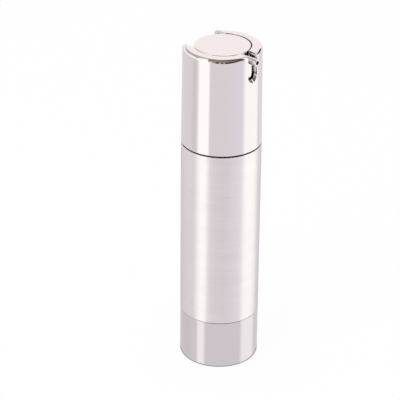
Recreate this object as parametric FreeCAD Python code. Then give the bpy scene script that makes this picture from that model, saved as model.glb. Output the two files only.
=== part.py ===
import FreeCAD, Part
import math
import os

# Airless pump bottle, 50 ml, in millimetres. It stands on its base with Z up.
# The origin is the centre of the underside, and the nozzle points along -Y.
# A follower piston rises behind the product as a small pump in the head draws it off.

# The bottle as a whole
bottle_diameter = 35.0
base_height = 23.0
body_top_height = 105.0
head_height = 44.3
base_seam = 0.15
head_seam = 0.7
capacity_ml = 50.0

# Fits and cutting
press_gap = 0.02
running_gap = 0.08
guide_gap = 0.1
loose_gap = 0.3
cut_overrun = 1.0

# Base cap, a plated cup with a foot ring, a vent and ribs on its floor
cap_wall = 1.3
cap_floor = 1.4
cap_edge_radius = 1.2
cap_rim_chamfer = 0.25
foot_ring_width = 2.6
foot_recess_depth = 0.5
foot_recess_slope = 0.4
cap_vent_diameter = 1.6
cap_bead_depth = 0.3
cap_bead_height = 1.0
cap_bead_lift = 8.0
cap_rib_count = 6
cap_rib_width = 0.8
cap_rib_height = 0.5
cap_rib_start = 3.0
cap_rib_inset = 3.2

# Base plug, which closes the open foot of the inner bottle
plug_flange_thickness = 1.2
plug_spigot_height = 2.5
plug_spigot_wall = 1.2
plug_spigot_chamfer = 0.4
plug_vent_diameter = 2.4
plug_recess_depth = 0.5
plug_slot_count = 3
plug_slot_width = 2.0

# Brushed shell round the body
shell_wall = 0.5
shell_edge_radius = 0.18

# Inner bottle
inner_wall = 1.6
land_depth = 1.12
land_height = 1.6
land_chamfer = 0.3
base_land_height = 1.4
middle_land_height = 64.0
shoulder_band_height = 3.2
shoulder_drop = 0.8
shoulder_round = 0.8
neck_wall = 1.5
neck_height = 6.8
neck_edge_chamfer = 0.4
funnel_height = 3.2
inner_funnel_start_drop = 5.6

# Follower piston
follower_height = 11.0
follower_lip_height = 1.8
follower_waist_depth = 0.7
follower_lip_slope = 0.6
follower_wall = 1.1
follower_dome_height = 3.0
follower_well_radius = 4.4
follower_well_depth = 2.2
follower_rib_count = 6
follower_rib_width = 0.9

# Neck gasket
gasket_thickness = 1.0
gasket_inset = 0.2

# Pump housing, which hangs in the neck from its flange
flange_thickness = 1.5
flange_inset = 0.4
neck_plug_height = 4.0
neck_plug_wall = 1.0
neck_plug_gap = 0.15
neck_plug_chamfer = 0.3
pump_bore = 10.0
pump_wall = 1.3
pump_top_rise = 10.0
pump_floor_drop = 4.5
ball_pocket_depth = 2.9
ball_pocket_diameter = 5.2
inlet_diameter = 3.0
inlet_seat_height = 1.1
inlet_boss_radius = 3.8
inlet_boss_height = 2.0
housing_taper_height = 2.6
housing_bead_depth = 0.25
housing_bead_height = 1.2
housing_bead_drop = 1.3
web_count = 4
web_width = 1.0

# Inlet ball and its retainer
ball_diameter = 4.0
ball_lift = 1.5
retainer_height = 1.5
retainer_wall = 1.3
retainer_bar_width = 0.9

# Stem guide, snapped over the top of the housing
guide_wall = 1.2
guide_skirt_height = 4.0
guide_top_thickness = 1.5
guide_plug_height = 1.6
guide_plug_wall = 0.9
guide_bush_height = 2.5
guide_bush_wall = 1.0
guide_lip_height = 1.4

# Stem and valve spindle
stem_diameter = 5.0
stem_bore = 2.4
stem_neck_diameter = 3.84
stem_neck_length = 3.3
stem_flange_radius = 6.2
stem_flange_thickness = 1.2
stem_top_grip = 5.8
port_diameter = 0.9
port_lift = 0.6
spindle_head_radius = 3.4
spindle_head_thickness = 1.2
spindle_pin_length = 3.0
spindle_pin_width = 1.3
spindle_edge_chamfer = 0.3

# Pump piston
piston_height = 3.2
piston_lip_height = 0.9
piston_waist_depth = 0.7
lost_motion = 1.0
piston_seat_gap = 0.05
piston_guide_gap = 0.15

# Return spring
spring_wire = 0.9
spring_mean_radius = 5.2
spring_open_pitch = 2.65
spring_end_turns = 1
spring_seat_gap = 0.02
spring_end_gap = 0.6
spring_probe_count = 24

# Screw collar
thread_gap = 1.1
collar_wall = 1.1
collar_sleeve_gap = 0.5
collar_web_thickness = 1.5
collar_web_hole_gap = 0.4
collar_flange_thickness = 0.5
collar_flange_inset = 0.7
collar_tube_height = 13.0
collar_tube_wall = 0.9
collar_rib_count = 12
collar_rib_width = 1.2

# Head sleeve
sleeve_draft = 0.5
sleeve_wall = 1.3
sleeve_top_radius = 1.9
ring_width = 4.5
ring_thickness = 1.2
ring_inner_chamfer = 0.2
guide_tube_wall = 1.2
guide_tube_length = 14.0
sleeve_foot_chamfer = 0.15

# Slot for the nozzle in the head sleeve
slot_width = 5.2
slot_depth = 11.4
slot_lip_width = 0.3
slot_lip_drop = 1.5
slot_lip_depth = 1.0
cheek_wall = 0.9
cheek_root = 0.4

# Finger notch in the head sleeve, opposite the nozzle
notch_side_inset = 2.3
notch_depth = 7.5
notch_corner_radius = 1.6
notch_floor = 1.2

# Button cap with the nozzle boss and the tongue that fills the slot
button_gap = 0.45
button_drop = 0.1
button_top = 1.0
button_wall = 1.1
button_height = 8.9
button_edge_radius = 0.3
button_bead_height = 1.2
button_travel = 5.5
nozzle_drop = 2.8
nozzle_radius = 1.6
nozzle_stand_out = 2.4
nozzle_edge_radius = 0.3
nozzle_bore_radius = 0.95
tongue_width = 4.0
tongue_wall = 1.4
tongue_gap = 0.4
tongue_drop = 11.3
tongue_edge_radius = 0.6

# Actuator core inside the button, and the nozzle insert
core_socket_length = 9.65
core_socket_wall = 1.7
core_ring_wall = 1.0
core_ring_height = 3.6
core_rib_count = 6
core_rib_width = 0.9
core_duct_width = 3.2
core_duct_height = 3.5
core_channel_radius = 0.9
orifice_radius = 0.6
insert_inset = 0.1

# Radii and heights that follow from the sizes above
bottle_radius = bottle_diameter / 2
head_foot = body_top_height + head_seam
total_height = head_foot + head_height
cap_bore_radius = bottle_radius - cap_wall
cap_floor_top = foot_recess_depth + cap_floor
foot_ring_inner = bottle_radius - cap_edge_radius - foot_ring_width
cap_rib_end = foot_ring_inner - cap_rib_inset
inner_foot = cap_floor_top + plug_flange_thickness
shell_bore_radius = bottle_radius - shell_wall
shell_foot = base_height + base_seam
land_radius = shell_bore_radius - running_gap
base_land_radius = cap_bore_radius - running_gap
inner_radius = land_radius - land_depth
chamber_radius = inner_radius - inner_wall
shoulder_top = body_top_height - shoulder_drop
neck_top = shoulder_top + neck_height
gasket_top = neck_top + gasket_thickness
follower_foot = inner_foot + plug_spigot_height
follower_radius = chamber_radius - running_gap
collar_bore_radius = bottle_radius - sleeve_wall - collar_sleeve_gap - collar_wall
neck_radius = collar_bore_radius - thread_gap
neck_bore_radius = neck_radius - neck_wall

pump_radius = pump_bore / 2
housing_radius = pump_radius + pump_wall
flange_top = gasket_top + flange_thickness
housing_top = flange_top + pump_top_rise - flange_thickness
pump_floor = gasket_top - pump_floor_drop
pocket_radius = ball_pocket_diameter / 2
pocket_floor = pump_floor - ball_pocket_depth
inlet_radius = inlet_diameter / 2
inlet_edge = pocket_floor - inlet_seat_height
inlet_foot = inlet_edge - inlet_boss_height
flange_radius = collar_bore_radius - flange_inset
bead_top = housing_top - housing_bead_drop
bead_foot = bead_top - housing_bead_height

ball_radius = ball_diameter / 2
ball_centre = inlet_edge + math.sqrt(ball_radius ** 2 - inlet_radius ** 2) + press_gap
retainer_bar_foot = ball_centre + ball_radius + ball_lift
retainer_top = pump_floor + retainer_height

stem_radius = stem_diameter / 2
stem_bore_radius = stem_bore / 2
stem_neck_radius = stem_neck_diameter / 2
spindle_foot = retainer_top + button_travel + loose_gap
spindle_top = spindle_foot + spindle_head_thickness
piston_foot = spindle_top + piston_seat_gap
piston_top = piston_foot + piston_height
stem_shoulder = piston_top + lost_motion
stem_foot = stem_shoulder - stem_neck_length
guide_plug_foot = housing_top - guide_plug_height
guide_web_top = housing_top + guide_top_thickness
stem_bush_radius = stem_radius + running_gap
guide_bore_radius = housing_radius + housing_bead_depth + press_gap
guide_outer_radius = guide_bore_radius + guide_wall

sleeve_top_outer = bottle_radius - sleeve_draft
ring_inner_radius = sleeve_top_outer - ring_width
guide_tube_radius = ring_inner_radius + guide_tube_wall
guide_tube_foot = total_height - guide_tube_length
notch_half_width = ring_inner_radius - notch_side_inset
notch_floor_top = total_height - notch_depth
slot_floor = total_height - slot_depth

button_radius = ring_inner_radius - button_gap
button_top_height = total_height - button_drop
button_foot = button_top_height - button_height
button_plate_foot = button_top_height - button_top
skirt_bore_radius = button_radius - button_wall
nozzle_height = total_height - nozzle_drop
nozzle_reach = sleeve_top_outer + nozzle_stand_out
core_top = button_plate_foot - press_gap
stem_flange_top = core_top - core_socket_length
stem_flange_foot = stem_flange_top - stem_flange_thickness
stem_top = stem_flange_top + stem_top_grip
tongue_inner_radius = guide_tube_radius + tongue_gap
tongue_outer_radius = tongue_inner_radius + tongue_wall

spring_foot = guide_web_top + spring_wire / 2 + spring_seat_gap
spring_top = stem_flange_foot - spring_wire / 2 - spring_seat_gap
spring_close_pitch = spring_wire + spring_end_gap
spring_close_rise = spring_close_pitch * spring_end_turns
spring_open_rise = spring_top - spring_foot - 2 * spring_close_rise
spring_open_turns = round(spring_open_rise / spring_open_pitch)
spring_turns = spring_open_turns + 2 * spring_end_turns

UP = FreeCAD.Vector(0, 0, 1)
OUT = FreeCAD.Vector(0, -1, 0)
ORIGIN = FreeCAD.Vector(0, 0, 0)


def point(x, y, z):
    return FreeCAD.Vector(x, y, z)


def spun(outline):
    """A solid of revolution about Z from a closed list of (radius, height) points.

    A point may be followed by a bulge point: (radius, height, "arc") is a point that an arc passes
    through on its way to the next point.
    """
    edges = []
    count = len(outline)
    index = 0
    while index < count:
        start = point(outline[index][0], 0, outline[index][1])
        after = outline[(index + 1) % count]
        if len(after) == 3:
            middle = point(after[0], 0, after[1])
            end_row = outline[(index + 2) % count]
            end = point(end_row[0], 0, end_row[1])
            edges.append(Part.Arc(start, middle, end).toShape())
            index += 2
        else:
            edges.append(Part.makeLine(start, point(after[0], 0, after[1])))
            index += 1
    face = Part.Face(Part.Wire(edges))
    return face.revolve(ORIGIN, UP, 360)


def round_corner(corner, before, after, radius):
    """The start, middle and end of an arc that rounds one corner of an outline."""
    corner_point = point(corner[0], 0, corner[1])
    to_before = (point(before[0], 0, before[1]) - corner_point).normalize()
    to_after = (point(after[0], 0, after[1]) - corner_point).normalize()
    half_turn = to_before.getAngle(to_after) / 2
    reach = radius / math.tan(half_turn)
    bisector = (to_before + to_after).normalize()
    centre = corner_point + bisector * (radius / math.sin(half_turn))
    start = corner_point + to_before * reach
    end = corner_point + to_after * reach
    middle = centre - bisector * radius
    return [(start.x, start.z), (middle.x, middle.z, "arc"), (end.x, end.z)]


def ring(inner_radius_value, outer_radius_value, foot, top):
    """A plain ring about Z."""
    return spun(
        [
            (inner_radius_value, foot),
            (outer_radius_value, foot),
            (outer_radius_value, top),
            (inner_radius_value, top),
        ]
    )


def disc(radius, foot, top, x=0.0, y=0.0):
    """An upright cylinder."""
    return Part.makeCylinder(radius, top - foot, point(x, y, foot), UP)


def block(x_low, x_high, y_low, y_high, z_low, z_high):
    """A box from its low and high faces."""
    return Part.makeBox(x_high - x_low, y_high - y_low, z_high - z_low, point(x_low, y_low, z_low))


def spokes(count, width, start_radius, end_radius, foot, top):
    """Flat ribs that run outwards from the axis, evenly spaced."""
    solids = []
    for index in range(count):
        rib = block(start_radius, end_radius, -width / 2, width / 2, foot, top)
        rib.rotate(ORIGIN, UP, 360.0 * index / count)
        solids.append(rib)
    return solids


def tidy(shape):
    """The same solid with faces joined where they lie on one surface."""
    return shape.removeSplitter()


def edges_where(shape, wanted):
    """Edges whose whole length satisfies a test on their points."""
    chosen = []
    for edge in shape.Edges:
        places = edge.discretize(5)
        if all(wanted(place) for place in places):
            chosen.append(edge)
    return chosen


def make_base_cap():
    """Plated cup: rounded foot edge, foot ring, snap bead, vent and floor ribs."""
    rim_outer = (bottle_radius, base_height)
    outline = [(0, foot_recess_depth)]
    outline.append((foot_ring_inner - foot_recess_slope, foot_recess_depth))
    outline.append((foot_ring_inner, 0))
    outline += round_corner((bottle_radius, 0), (foot_ring_inner, 0), rim_outer, cap_edge_radius)
    outline.append((bottle_radius, base_height - cap_rim_chamfer))
    outline.append((bottle_radius - cap_rim_chamfer, base_height))
    outline.append((cap_bore_radius, base_height))
    bead_centre = cap_floor_top + cap_bead_lift
    outline.append((cap_bore_radius, bead_centre + cap_bead_height / 2))
    outline.append((cap_bore_radius - cap_bead_depth, bead_centre))
    outline.append((cap_bore_radius, bead_centre - cap_bead_height / 2))
    outline.append((cap_bore_radius, cap_floor_top))
    outline.append((0, cap_floor_top))
    cup = spun(outline)
    rib_top = cap_floor_top + cap_rib_height
    ribs = spokes(cap_rib_count, cap_rib_width, cap_rib_start, cap_rib_end, cap_floor, rib_top)
    cup = cup.fuse(ribs)
    vent = disc(cap_vent_diameter / 2, -cut_overrun, rib_top + cut_overrun)
    return tidy(cup.cut(vent))


def make_base_plug():
    """Plug with a flange under the inner bottle's foot and a spigot up its bore."""
    spigot_radius = chamber_radius - press_gap
    flange_radius_value = inner_radius
    web_foot = cap_floor_top + plug_recess_depth
    spigot_inner = spigot_radius - plug_spigot_wall
    outline = [
        (plug_vent_diameter / 2, web_foot + cap_rib_height),
        (cap_rib_end + loose_gap, web_foot + cap_rib_height),
        (cap_rib_end + loose_gap, cap_floor_top),
        (flange_radius_value, cap_floor_top),
        (flange_radius_value, inner_foot),
        (spigot_radius, inner_foot),
        (spigot_radius, follower_foot - plug_spigot_chamfer),
        (spigot_radius - plug_spigot_chamfer, follower_foot),
        (spigot_inner, follower_foot),
        (spigot_inner, inner_foot + plug_recess_depth),
        (plug_vent_diameter / 2, inner_foot + plug_recess_depth),
    ]
    body = spun(outline)
    slots = spokes(
        plug_slot_count, plug_slot_width, spigot_inner - cut_overrun, spigot_radius + cut_overrun,
        inner_foot + plug_recess_depth, follower_foot + cut_overrun,
    )
    return tidy(body.cut(slots))


def make_body_shell():
    """Thin brushed tube round the inner bottle, its edges softened."""
    tube = ring(shell_bore_radius, bottle_radius, shell_foot, body_top_height)
    ends = edges_where(tube, lambda p: math.hypot(p.x, p.y) > bottle_radius - press_gap
                       and min(abs(p.z - shell_foot), abs(p.z - body_top_height)) < press_gap)
    return tube.makeFillet(shell_edge_radius, ends)


def land(radius, foot, height):
    """Outline points of a centring land on the inner bottle, from its foot to its top."""
    return [
        (inner_radius, foot),
        (radius - land_chamfer, foot),
        (radius, foot + land_chamfer),
        (radius, foot + height - land_chamfer),
        (radius - land_chamfer, foot + height),
        (inner_radius, foot + height),
    ]


def make_inner_bottle():
    """Open-footed bottle: straight bore, centring lands, shoulder and plain neck."""
    bead_centre = cap_floor_top + cap_bead_lift
    low_land_top = bead_centre - cap_bead_height / 2 - running_gap
    rim_land_top = base_height - cap_rim_chamfer
    outline = [(chamber_radius, inner_foot), (inner_radius, inner_foot)]
    outline += land(base_land_radius, low_land_top - base_land_height, base_land_height)
    outline += land(base_land_radius, rim_land_top - base_land_height, base_land_height)
    outline += land(land_radius, shell_foot, land_height)
    outline += land(land_radius, middle_land_height, land_height)
    band_foot = shoulder_top - shoulder_band_height
    band_top = (land_radius, shoulder_top)
    outline.append((inner_radius, band_foot - (land_radius - inner_radius)))
    outline.append((land_radius, band_foot))
    neck_foot = (neck_radius, shoulder_top)
    outline += round_corner(band_top, (land_radius, band_foot), neck_foot, shoulder_round)
    outline.append(neck_foot)
    outline.append((neck_radius, neck_top - neck_edge_chamfer))
    outline.append((neck_radius - neck_edge_chamfer, neck_top))
    outline.append((neck_bore_radius, neck_top))
    funnel_foot = shoulder_top - inner_funnel_start_drop
    outline.append((neck_bore_radius, funnel_foot + funnel_height))
    outline.append((chamber_radius, funnel_foot))
    return spun(outline)


def make_follower_piston():
    """Hollow piston with a wiping lip at each end, a domed crown and a well for the pump's inlet."""
    foot = follower_foot
    top = foot + follower_height
    crown = top + follower_dome_height
    waist = follower_radius - follower_waist_depth
    inner = waist - follower_wall
    well_floor = crown - follower_well_depth
    outline = [
        (0, well_floor - follower_wall),
        (follower_well_radius + follower_wall, well_floor - follower_wall),
        (inner, top - follower_lip_height - follower_wall),
        (inner, foot + follower_lip_height),
        (inner + follower_lip_slope, foot),
        (follower_radius - follower_lip_slope, foot),
        (follower_radius, foot + follower_lip_slope),
        (follower_radius, foot + follower_lip_height),
        (waist, foot + follower_lip_height + follower_lip_slope),
        (waist, top - follower_lip_height - follower_lip_slope),
        (follower_radius, top - follower_lip_height),
        (follower_radius, top),
        (waist - follower_lip_slope, top - follower_lip_slope),
        (follower_well_radius + follower_wall, crown),
        (follower_well_radius, crown),
        (follower_well_radius - follower_lip_slope, well_floor),
        (0, well_floor),
    ]
    body = spun(outline)
    ribs = spokes(
        follower_rib_count, follower_rib_width, 0, inner + follower_wall / 2,
        foot + follower_lip_height + follower_lip_slope, well_floor - follower_wall / 2,
    )
    under_crown = spun(
        [
            (0, foot),
            (inner + follower_wall / 2, foot),
            (inner + follower_wall / 2, top - follower_lip_height - follower_wall / 2),
            (follower_well_radius + follower_wall, well_floor - follower_wall / 2),
            (0, well_floor - follower_wall / 2),
        ]
    )
    trimmed = [rib.common(under_crown) for rib in ribs]
    return tidy(body.fuse(trimmed))


def make_neck_gasket():
    """Flat soft washer between the neck and the pump's flange."""
    return ring(neck_bore_radius + gasket_inset, neck_radius, neck_top, gasket_top)


def make_pump_housing():
    """Pump cylinder with its flange, neck plug, ball pocket, inlet boss and snap bead."""
    plug_outer = neck_bore_radius - neck_plug_gap
    plug_inner = plug_outer - neck_plug_wall
    plug_foot = gasket_top - neck_plug_height - gasket_thickness
    outline = [
        (inlet_radius, inlet_foot),
        (inlet_boss_radius - neck_plug_chamfer, inlet_foot),
        (inlet_boss_radius, inlet_foot + neck_plug_chamfer),
        (inlet_boss_radius, inlet_edge),
        (housing_radius, inlet_edge + housing_taper_height),
        (housing_radius, gasket_top),
        (plug_inner, gasket_top),
        (plug_inner, plug_foot),
        (plug_outer - neck_plug_chamfer, plug_foot),
        (plug_outer, plug_foot + neck_plug_chamfer),
        (plug_outer, gasket_top),
        (flange_radius, gasket_top),
        (flange_radius, flange_top),
        (housing_radius, flange_top),
        (housing_radius, bead_foot),
        (housing_radius + housing_bead_depth, bead_foot + housing_bead_depth),
        (housing_radius + housing_bead_depth, bead_top - housing_bead_depth),
        (housing_radius, bead_top),
        (housing_radius, housing_top),
        (pump_radius, housing_top),
        (pump_radius, pump_floor),
        (pocket_radius, pump_floor),
        (pocket_radius, pocket_floor),
        (inlet_radius, inlet_edge),
    ]
    body = spun(outline)
    webs = spokes(
        web_count, web_width, (pump_radius + housing_radius) / 2, plug_inner + neck_plug_wall / 2,
        plug_foot + neck_plug_wall, gasket_top,
    )
    return tidy(body.fuse(webs))


def make_inlet_ball():
    """Ball that rests on the rim of the inlet."""
    return Part.makeSphere(ball_radius, point(0, 0, ball_centre))


def make_ball_retainer():
    """Ring on the pump's floor whose crossed bars stop the ball."""
    outer = pump_radius - press_gap
    hoop = ring(outer - retainer_wall, outer, pump_floor, retainer_top)
    half = outer - retainer_wall / 2
    bar = retainer_bar_width / 2
    bars = [
        block(-half, half, -bar, bar, retainer_bar_foot, retainer_top),
        block(-bar, bar, -half, half, retainer_bar_foot, retainer_top),
    ]
    return tidy(hoop.fuse(bars))


def make_stem_guide():
    """Cap over the housing that guides the stem, stops the piston and seats the spring."""
    plug_outer = pump_radius - press_gap
    plug_inner = plug_outer - guide_plug_wall
    skirt_foot = housing_top - guide_skirt_height
    lip_radius = housing_radius + press_gap
    lip_top = bead_foot - press_gap
    bush_outer = stem_bush_radius + guide_bush_wall
    bush_top = guide_web_top + guide_bush_height
    outline = [
        (stem_bush_radius, housing_top),
        (plug_inner, housing_top),
        (plug_inner, guide_plug_foot),
        (plug_outer, guide_plug_foot),
        (plug_outer, housing_top),
        (guide_bore_radius, housing_top),
        (guide_bore_radius, lip_top + housing_bead_depth),
        (lip_radius, lip_top),
        (lip_radius, lip_top - guide_lip_height / 2),
        (guide_bore_radius, skirt_foot),
        (guide_outer_radius, skirt_foot),
    ]
    outline += round_corner(
        (guide_outer_radius, guide_web_top), (guide_outer_radius, skirt_foot),
        (bush_outer, guide_web_top), guide_wall / 2,
    )
    outline += [
        (bush_outer, guide_web_top),
        (bush_outer, bush_top),
        (stem_bush_radius, bush_top),
    ]
    return spun(outline)


def make_stem():
    """Hollow stem with a narrow neck for the piston, side ports and a spring flange."""
    outline = [
        (stem_bore_radius, stem_foot),
        (stem_neck_radius, stem_foot),
        (stem_neck_radius, stem_shoulder),
        (stem_radius, stem_shoulder),
        (stem_radius, stem_flange_foot),
        (stem_flange_radius, stem_flange_foot),
        (stem_flange_radius, stem_flange_top),
        (stem_radius, stem_flange_top),
        (stem_radius, stem_top),
        (stem_bore_radius, stem_top),
    ]
    tube = spun(outline)
    port_height = stem_foot + port_lift + port_diameter / 2
    half = stem_neck_radius + cut_overrun
    ports = Part.makeCylinder(port_diameter / 2, half * 2, point(-half, 0, port_height), point(1, 0, 0))
    return tube.cut(ports)


def make_valve_spindle():
    """Mushroom head that closes the piston's bore, on a flatted pin pressed up the stem."""
    head = spun(
        [
            (0, spindle_foot),
            (spindle_head_radius - spindle_edge_chamfer, spindle_foot),
            (spindle_head_radius, spindle_foot + spindle_edge_chamfer),
            (spindle_head_radius, spindle_top),
            (0, spindle_top),
        ]
    )
    pin_radius = stem_bore_radius - press_gap
    pin = disc(pin_radius, spindle_top, stem_foot + spindle_pin_length)
    keep = block(
        -spindle_pin_width / 2, spindle_pin_width / 2, -pin_radius - cut_overrun,
        pin_radius + cut_overrun, spindle_top, stem_foot + spindle_pin_length,
    )
    return tidy(head.fuse(pin.common(keep)))


def make_pump_piston():
    """Twin-lipped seal that slides on the stem's neck."""
    outer = pump_radius - running_gap
    waist = outer - piston_waist_depth
    bore = stem_neck_radius + running_gap
    outline = [
        (bore, piston_foot),
        (outer, piston_foot),
        (outer, piston_foot + piston_lip_height),
        (waist, piston_foot + piston_lip_height + piston_waist_depth / 2),
        (waist, piston_top - piston_lip_height - piston_waist_depth / 2),
        (outer, piston_top - piston_lip_height),
        (outer, piston_top),
        (outer - piston_waist_depth, piston_top),
        (waist - piston_waist_depth, piston_top - piston_lip_height),
        (bore + piston_waist_depth, piston_top - piston_lip_height),
        (bore + piston_waist_depth, piston_top - piston_guide_gap),
        (bore, piston_top - piston_guide_gap),
    ]
    return spun(outline)


def spring_height(turn):
    """Height of the wire's centre after a number of turns: end turns lie close, the rest is even."""
    if turn < spring_end_turns:
        return spring_foot + spring_close_pitch * turn
    if turn > spring_turns - spring_end_turns:
        return spring_top - spring_close_pitch * (spring_turns - turn)
    share = (turn - spring_end_turns) / spring_open_turns
    return spring_foot + spring_close_rise + spring_open_rise * share


def spring_point(turn):
    """A point on the wire's centre line."""
    angle = 2 * math.pi * turn
    x = spring_mean_radius * math.cos(angle)
    y = spring_mean_radius * math.sin(angle)
    return point(x, y, spring_height(turn))


def spring_direction(turn):
    """The wire's direction at a turn, level at both ends so that the ends lie on their seats."""
    step = 1 / (spring_probe_count * spring_probe_count)
    low = max(turn - step, 0)
    high = min(turn + step, spring_turns)
    direction = spring_point(high) - spring_point(low)
    if low == 0 or high == spring_turns:
        angle = 2 * math.pi * turn
        direction = point(-math.sin(angle), math.cos(angle), 0)
    return direction.normalize()


def arc_from_corner(start, corner, end):
    """The arc that leaves start towards corner and reaches end from corner, both legs equal."""
    chord_middle = (start + end) * 0.5
    leg = (corner - start).Length
    half_chord = (end - start).Length / 2
    turn = math.acos(min(1.0, half_chord / leg))
    share = math.tan(turn / 2) / math.tan(turn)
    return Part.Arc(start, chord_middle + (corner - chord_middle) * share, end).toShape()


def biarc(start, start_direction, end, end_direction):
    """Two arcs that join two points with given directions and meet smoothly."""
    gap = end - start
    both = start_direction + end_direction
    squares = 2 * (1 - start_direction.dot(end_direction))
    forward = gap.dot(both)
    leg = (-forward + math.sqrt(forward ** 2 + squares * gap.dot(gap))) / squares
    first_corner = start + start_direction * leg
    second_corner = end - end_direction * leg
    joint = (first_corner + second_corner) * 0.5
    return [
        arc_from_corner(start, first_corner, joint),
        arc_from_corner(joint, second_corner, end),
    ]


def least_spring_gap():
    """The least clear gap between the wire and itself one turn on."""
    count = spring_turns * spring_probe_count
    places = [spring_point(index / spring_probe_count) for index in range(count + 1)]
    least = spring_open_rise
    for index, place in enumerate(places):
        for other in places[index + spring_probe_count // 2:]:
            least = min(least, (other - place).Length - spring_wire)
    return least


def make_return_spring():
    """Compression spring as one unbroken round wire with closed end turns."""
    edges = []
    start_direction = spring_direction(0)
    end_direction = spring_direction(spring_turns)
    lead_in = spring_point(0) - start_direction * spring_wire
    lead_out = spring_point(spring_turns) + end_direction * spring_wire
    edges.append(Part.makeLine(lead_in, spring_point(0)))
    quarters = spring_turns * 4
    for index in range(quarters):
        low = index / 4
        high = (index + 1) / 4
        edges += biarc(spring_point(low), spring_direction(low), spring_point(high), spring_direction(high))
    edges.append(Part.makeLine(spring_point(spring_turns), lead_out))
    path = Part.Wire(edges)
    section = Part.Wire(Part.makeCircle(spring_wire / 2, lead_in, start_direction))
    return path.makePipeShell([section], True, False)


def make_screw_collar():
    """Closure that screws on the neck, clamps the pump and carries the sleeve on its ribs."""
    flange_outer = bottle_radius - collar_flange_inset
    skirt_outer = collar_bore_radius + collar_wall
    web_top = flange_top + collar_web_thickness
    tube_top = web_top + collar_tube_height
    hole_radius = guide_outer_radius + collar_web_hole_gap
    tube_inner = skirt_outer - collar_tube_wall
    outline = [
        (collar_bore_radius, head_foot - collar_flange_thickness),
        (flange_outer, head_foot - collar_flange_thickness),
        (flange_outer, head_foot),
        (skirt_outer, head_foot),
        (skirt_outer, tube_top),
        (tube_inner, tube_top),
        (tube_inner, web_top),
        (hole_radius, web_top),
        (hole_radius, flange_top),
        (collar_bore_radius, flange_top),
    ]
    body = spun(outline)
    reach = sleeve_inner_radius(tube_top) - press_gap
    ribs = spokes(
        collar_rib_count, collar_rib_width, tube_inner + collar_tube_wall / 2, bottle_radius,
        head_foot, tube_top - collar_wall,
    )
    inside_sleeve = disc(reach, head_foot, tube_top)
    trimmed = [rib.common(inside_sleeve) for rib in ribs]
    return tidy(body.fuse(trimmed))


def sleeve_outer_radius(height):
    """Outer radius of the drafted head sleeve at a height."""
    return bottle_radius - sleeve_draft * (height - head_foot) / head_height


def sleeve_inner_radius(height):
    """Inner radius of the drafted head sleeve at a height."""
    return sleeve_outer_radius(height) - sleeve_wall


def u_outline(width, depth, y):
    """A round-bottomed slot's outline, open past the top, as a wire on the plane at y."""
    half = width / 2
    top = total_height + cut_overrun
    bend = total_height - depth + half
    left_top = point(-half, y, top)
    left_bend = point(-half, y, bend)
    bottom = point(0, y, bend - half)
    right_bend = point(half, y, bend)
    right_top = point(half, y, top)
    return Part.Wire(
        [
            Part.makeLine(left_top, left_bend),
            Part.Arc(left_bend, bottom, right_bend).toShape(),
            Part.makeLine(right_bend, right_top),
            Part.makeLine(right_top, left_top),
        ]
    )


def nozzle_slot_cutters():
    """The slot itself, and the flared lip round its mouth."""
    start = -(ring_inner_radius - cut_overrun)
    through = Part.Face(u_outline(slot_width, slot_depth, start))
    slot = through.extrude(OUT * (bottle_radius - ring_inner_radius + 2 * cut_overrun))
    lip_root = -(sleeve_top_outer - slot_lip_depth)
    lip_mouth = -bottle_radius
    inner = u_outline(slot_width, slot_depth, lip_root)
    outer = u_outline(slot_width + 2 * slot_lip_width, slot_depth + slot_lip_drop, lip_mouth)
    lip = Part.makeLoft([inner, outer], True, True)
    return [slot, lip]


def finger_notch_cutter():
    """Square notch with rounded lower corners, cut from behind."""
    low = notch_floor_top
    top = total_height + cut_overrun
    start = ring_inner_radius / 2
    notch = block(
        -notch_half_width, notch_half_width, start, bottle_radius + cut_overrun, low, top,
    )
    floor_edges = edges_where(
        notch, lambda p: abs(p.z - low) < press_gap and abs(abs(p.x) - notch_half_width) < press_gap,
    )
    return notch.makeFillet(notch_corner_radius, floor_edges)


def sleeve_profile():
    """Drafted outer wall, flat ring and guide tube in one turned section."""
    ring_foot = total_height - ring_thickness
    outer_top = (sleeve_top_outer, total_height)
    outer_foot = (bottle_radius, head_foot + sleeve_foot_chamfer)
    ring_edge = (ring_inner_radius + ring_inner_chamfer, total_height)
    outline = [(bottle_radius - sleeve_wall, head_foot)]
    outline.append((bottle_radius - sleeve_foot_chamfer, head_foot))
    outline.append(outer_foot)
    outline += round_corner(outer_top, outer_foot, ring_edge, sleeve_top_radius)
    outline.append(ring_edge)
    outline.append((ring_inner_radius, total_height - ring_inner_chamfer))
    outline.append((ring_inner_radius, guide_tube_foot))
    outline.append((guide_tube_radius, guide_tube_foot))
    outline.append((guide_tube_radius, ring_foot))
    outline.append((sleeve_inner_radius(ring_foot), ring_foot))
    return spun(outline)


def sleeve_cheeks():
    """Walls beside the slot, and the notch's floor, between tube and sleeve."""
    ring_root = total_height - ring_thickness + cheek_root
    between = ring(
        guide_tube_radius - cheek_root, sleeve_inner_radius(total_height) + cheek_root,
        guide_tube_foot, ring_root,
    )
    slot_half = slot_width / 2
    notch_foot = notch_floor_top - notch_floor
    walls = []
    for side in (-1, 1):
        slot_low = min(side * slot_half, side * (slot_half + cheek_wall))
        walls.append(
            block(slot_low, slot_low + cheek_wall, -bottle_radius, 0, slot_floor, ring_root)
        )
    floor_half = notch_half_width + cheek_wall
    floor_root = notch_floor_top + notch_corner_radius
    walls.append(block(-floor_half, floor_half, 0, bottle_radius, notch_foot, floor_root))
    return [wall.common(between) for wall in walls]


def make_head_sleeve():
    """Polished sleeve with the nozzle slot, the finger notch and the button's guide tube."""
    body = sleeve_profile().fuse(sleeve_cheeks())
    body = body.cut(nozzle_slot_cutters() + [finger_notch_cutter()])
    return tidy(body)


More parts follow.
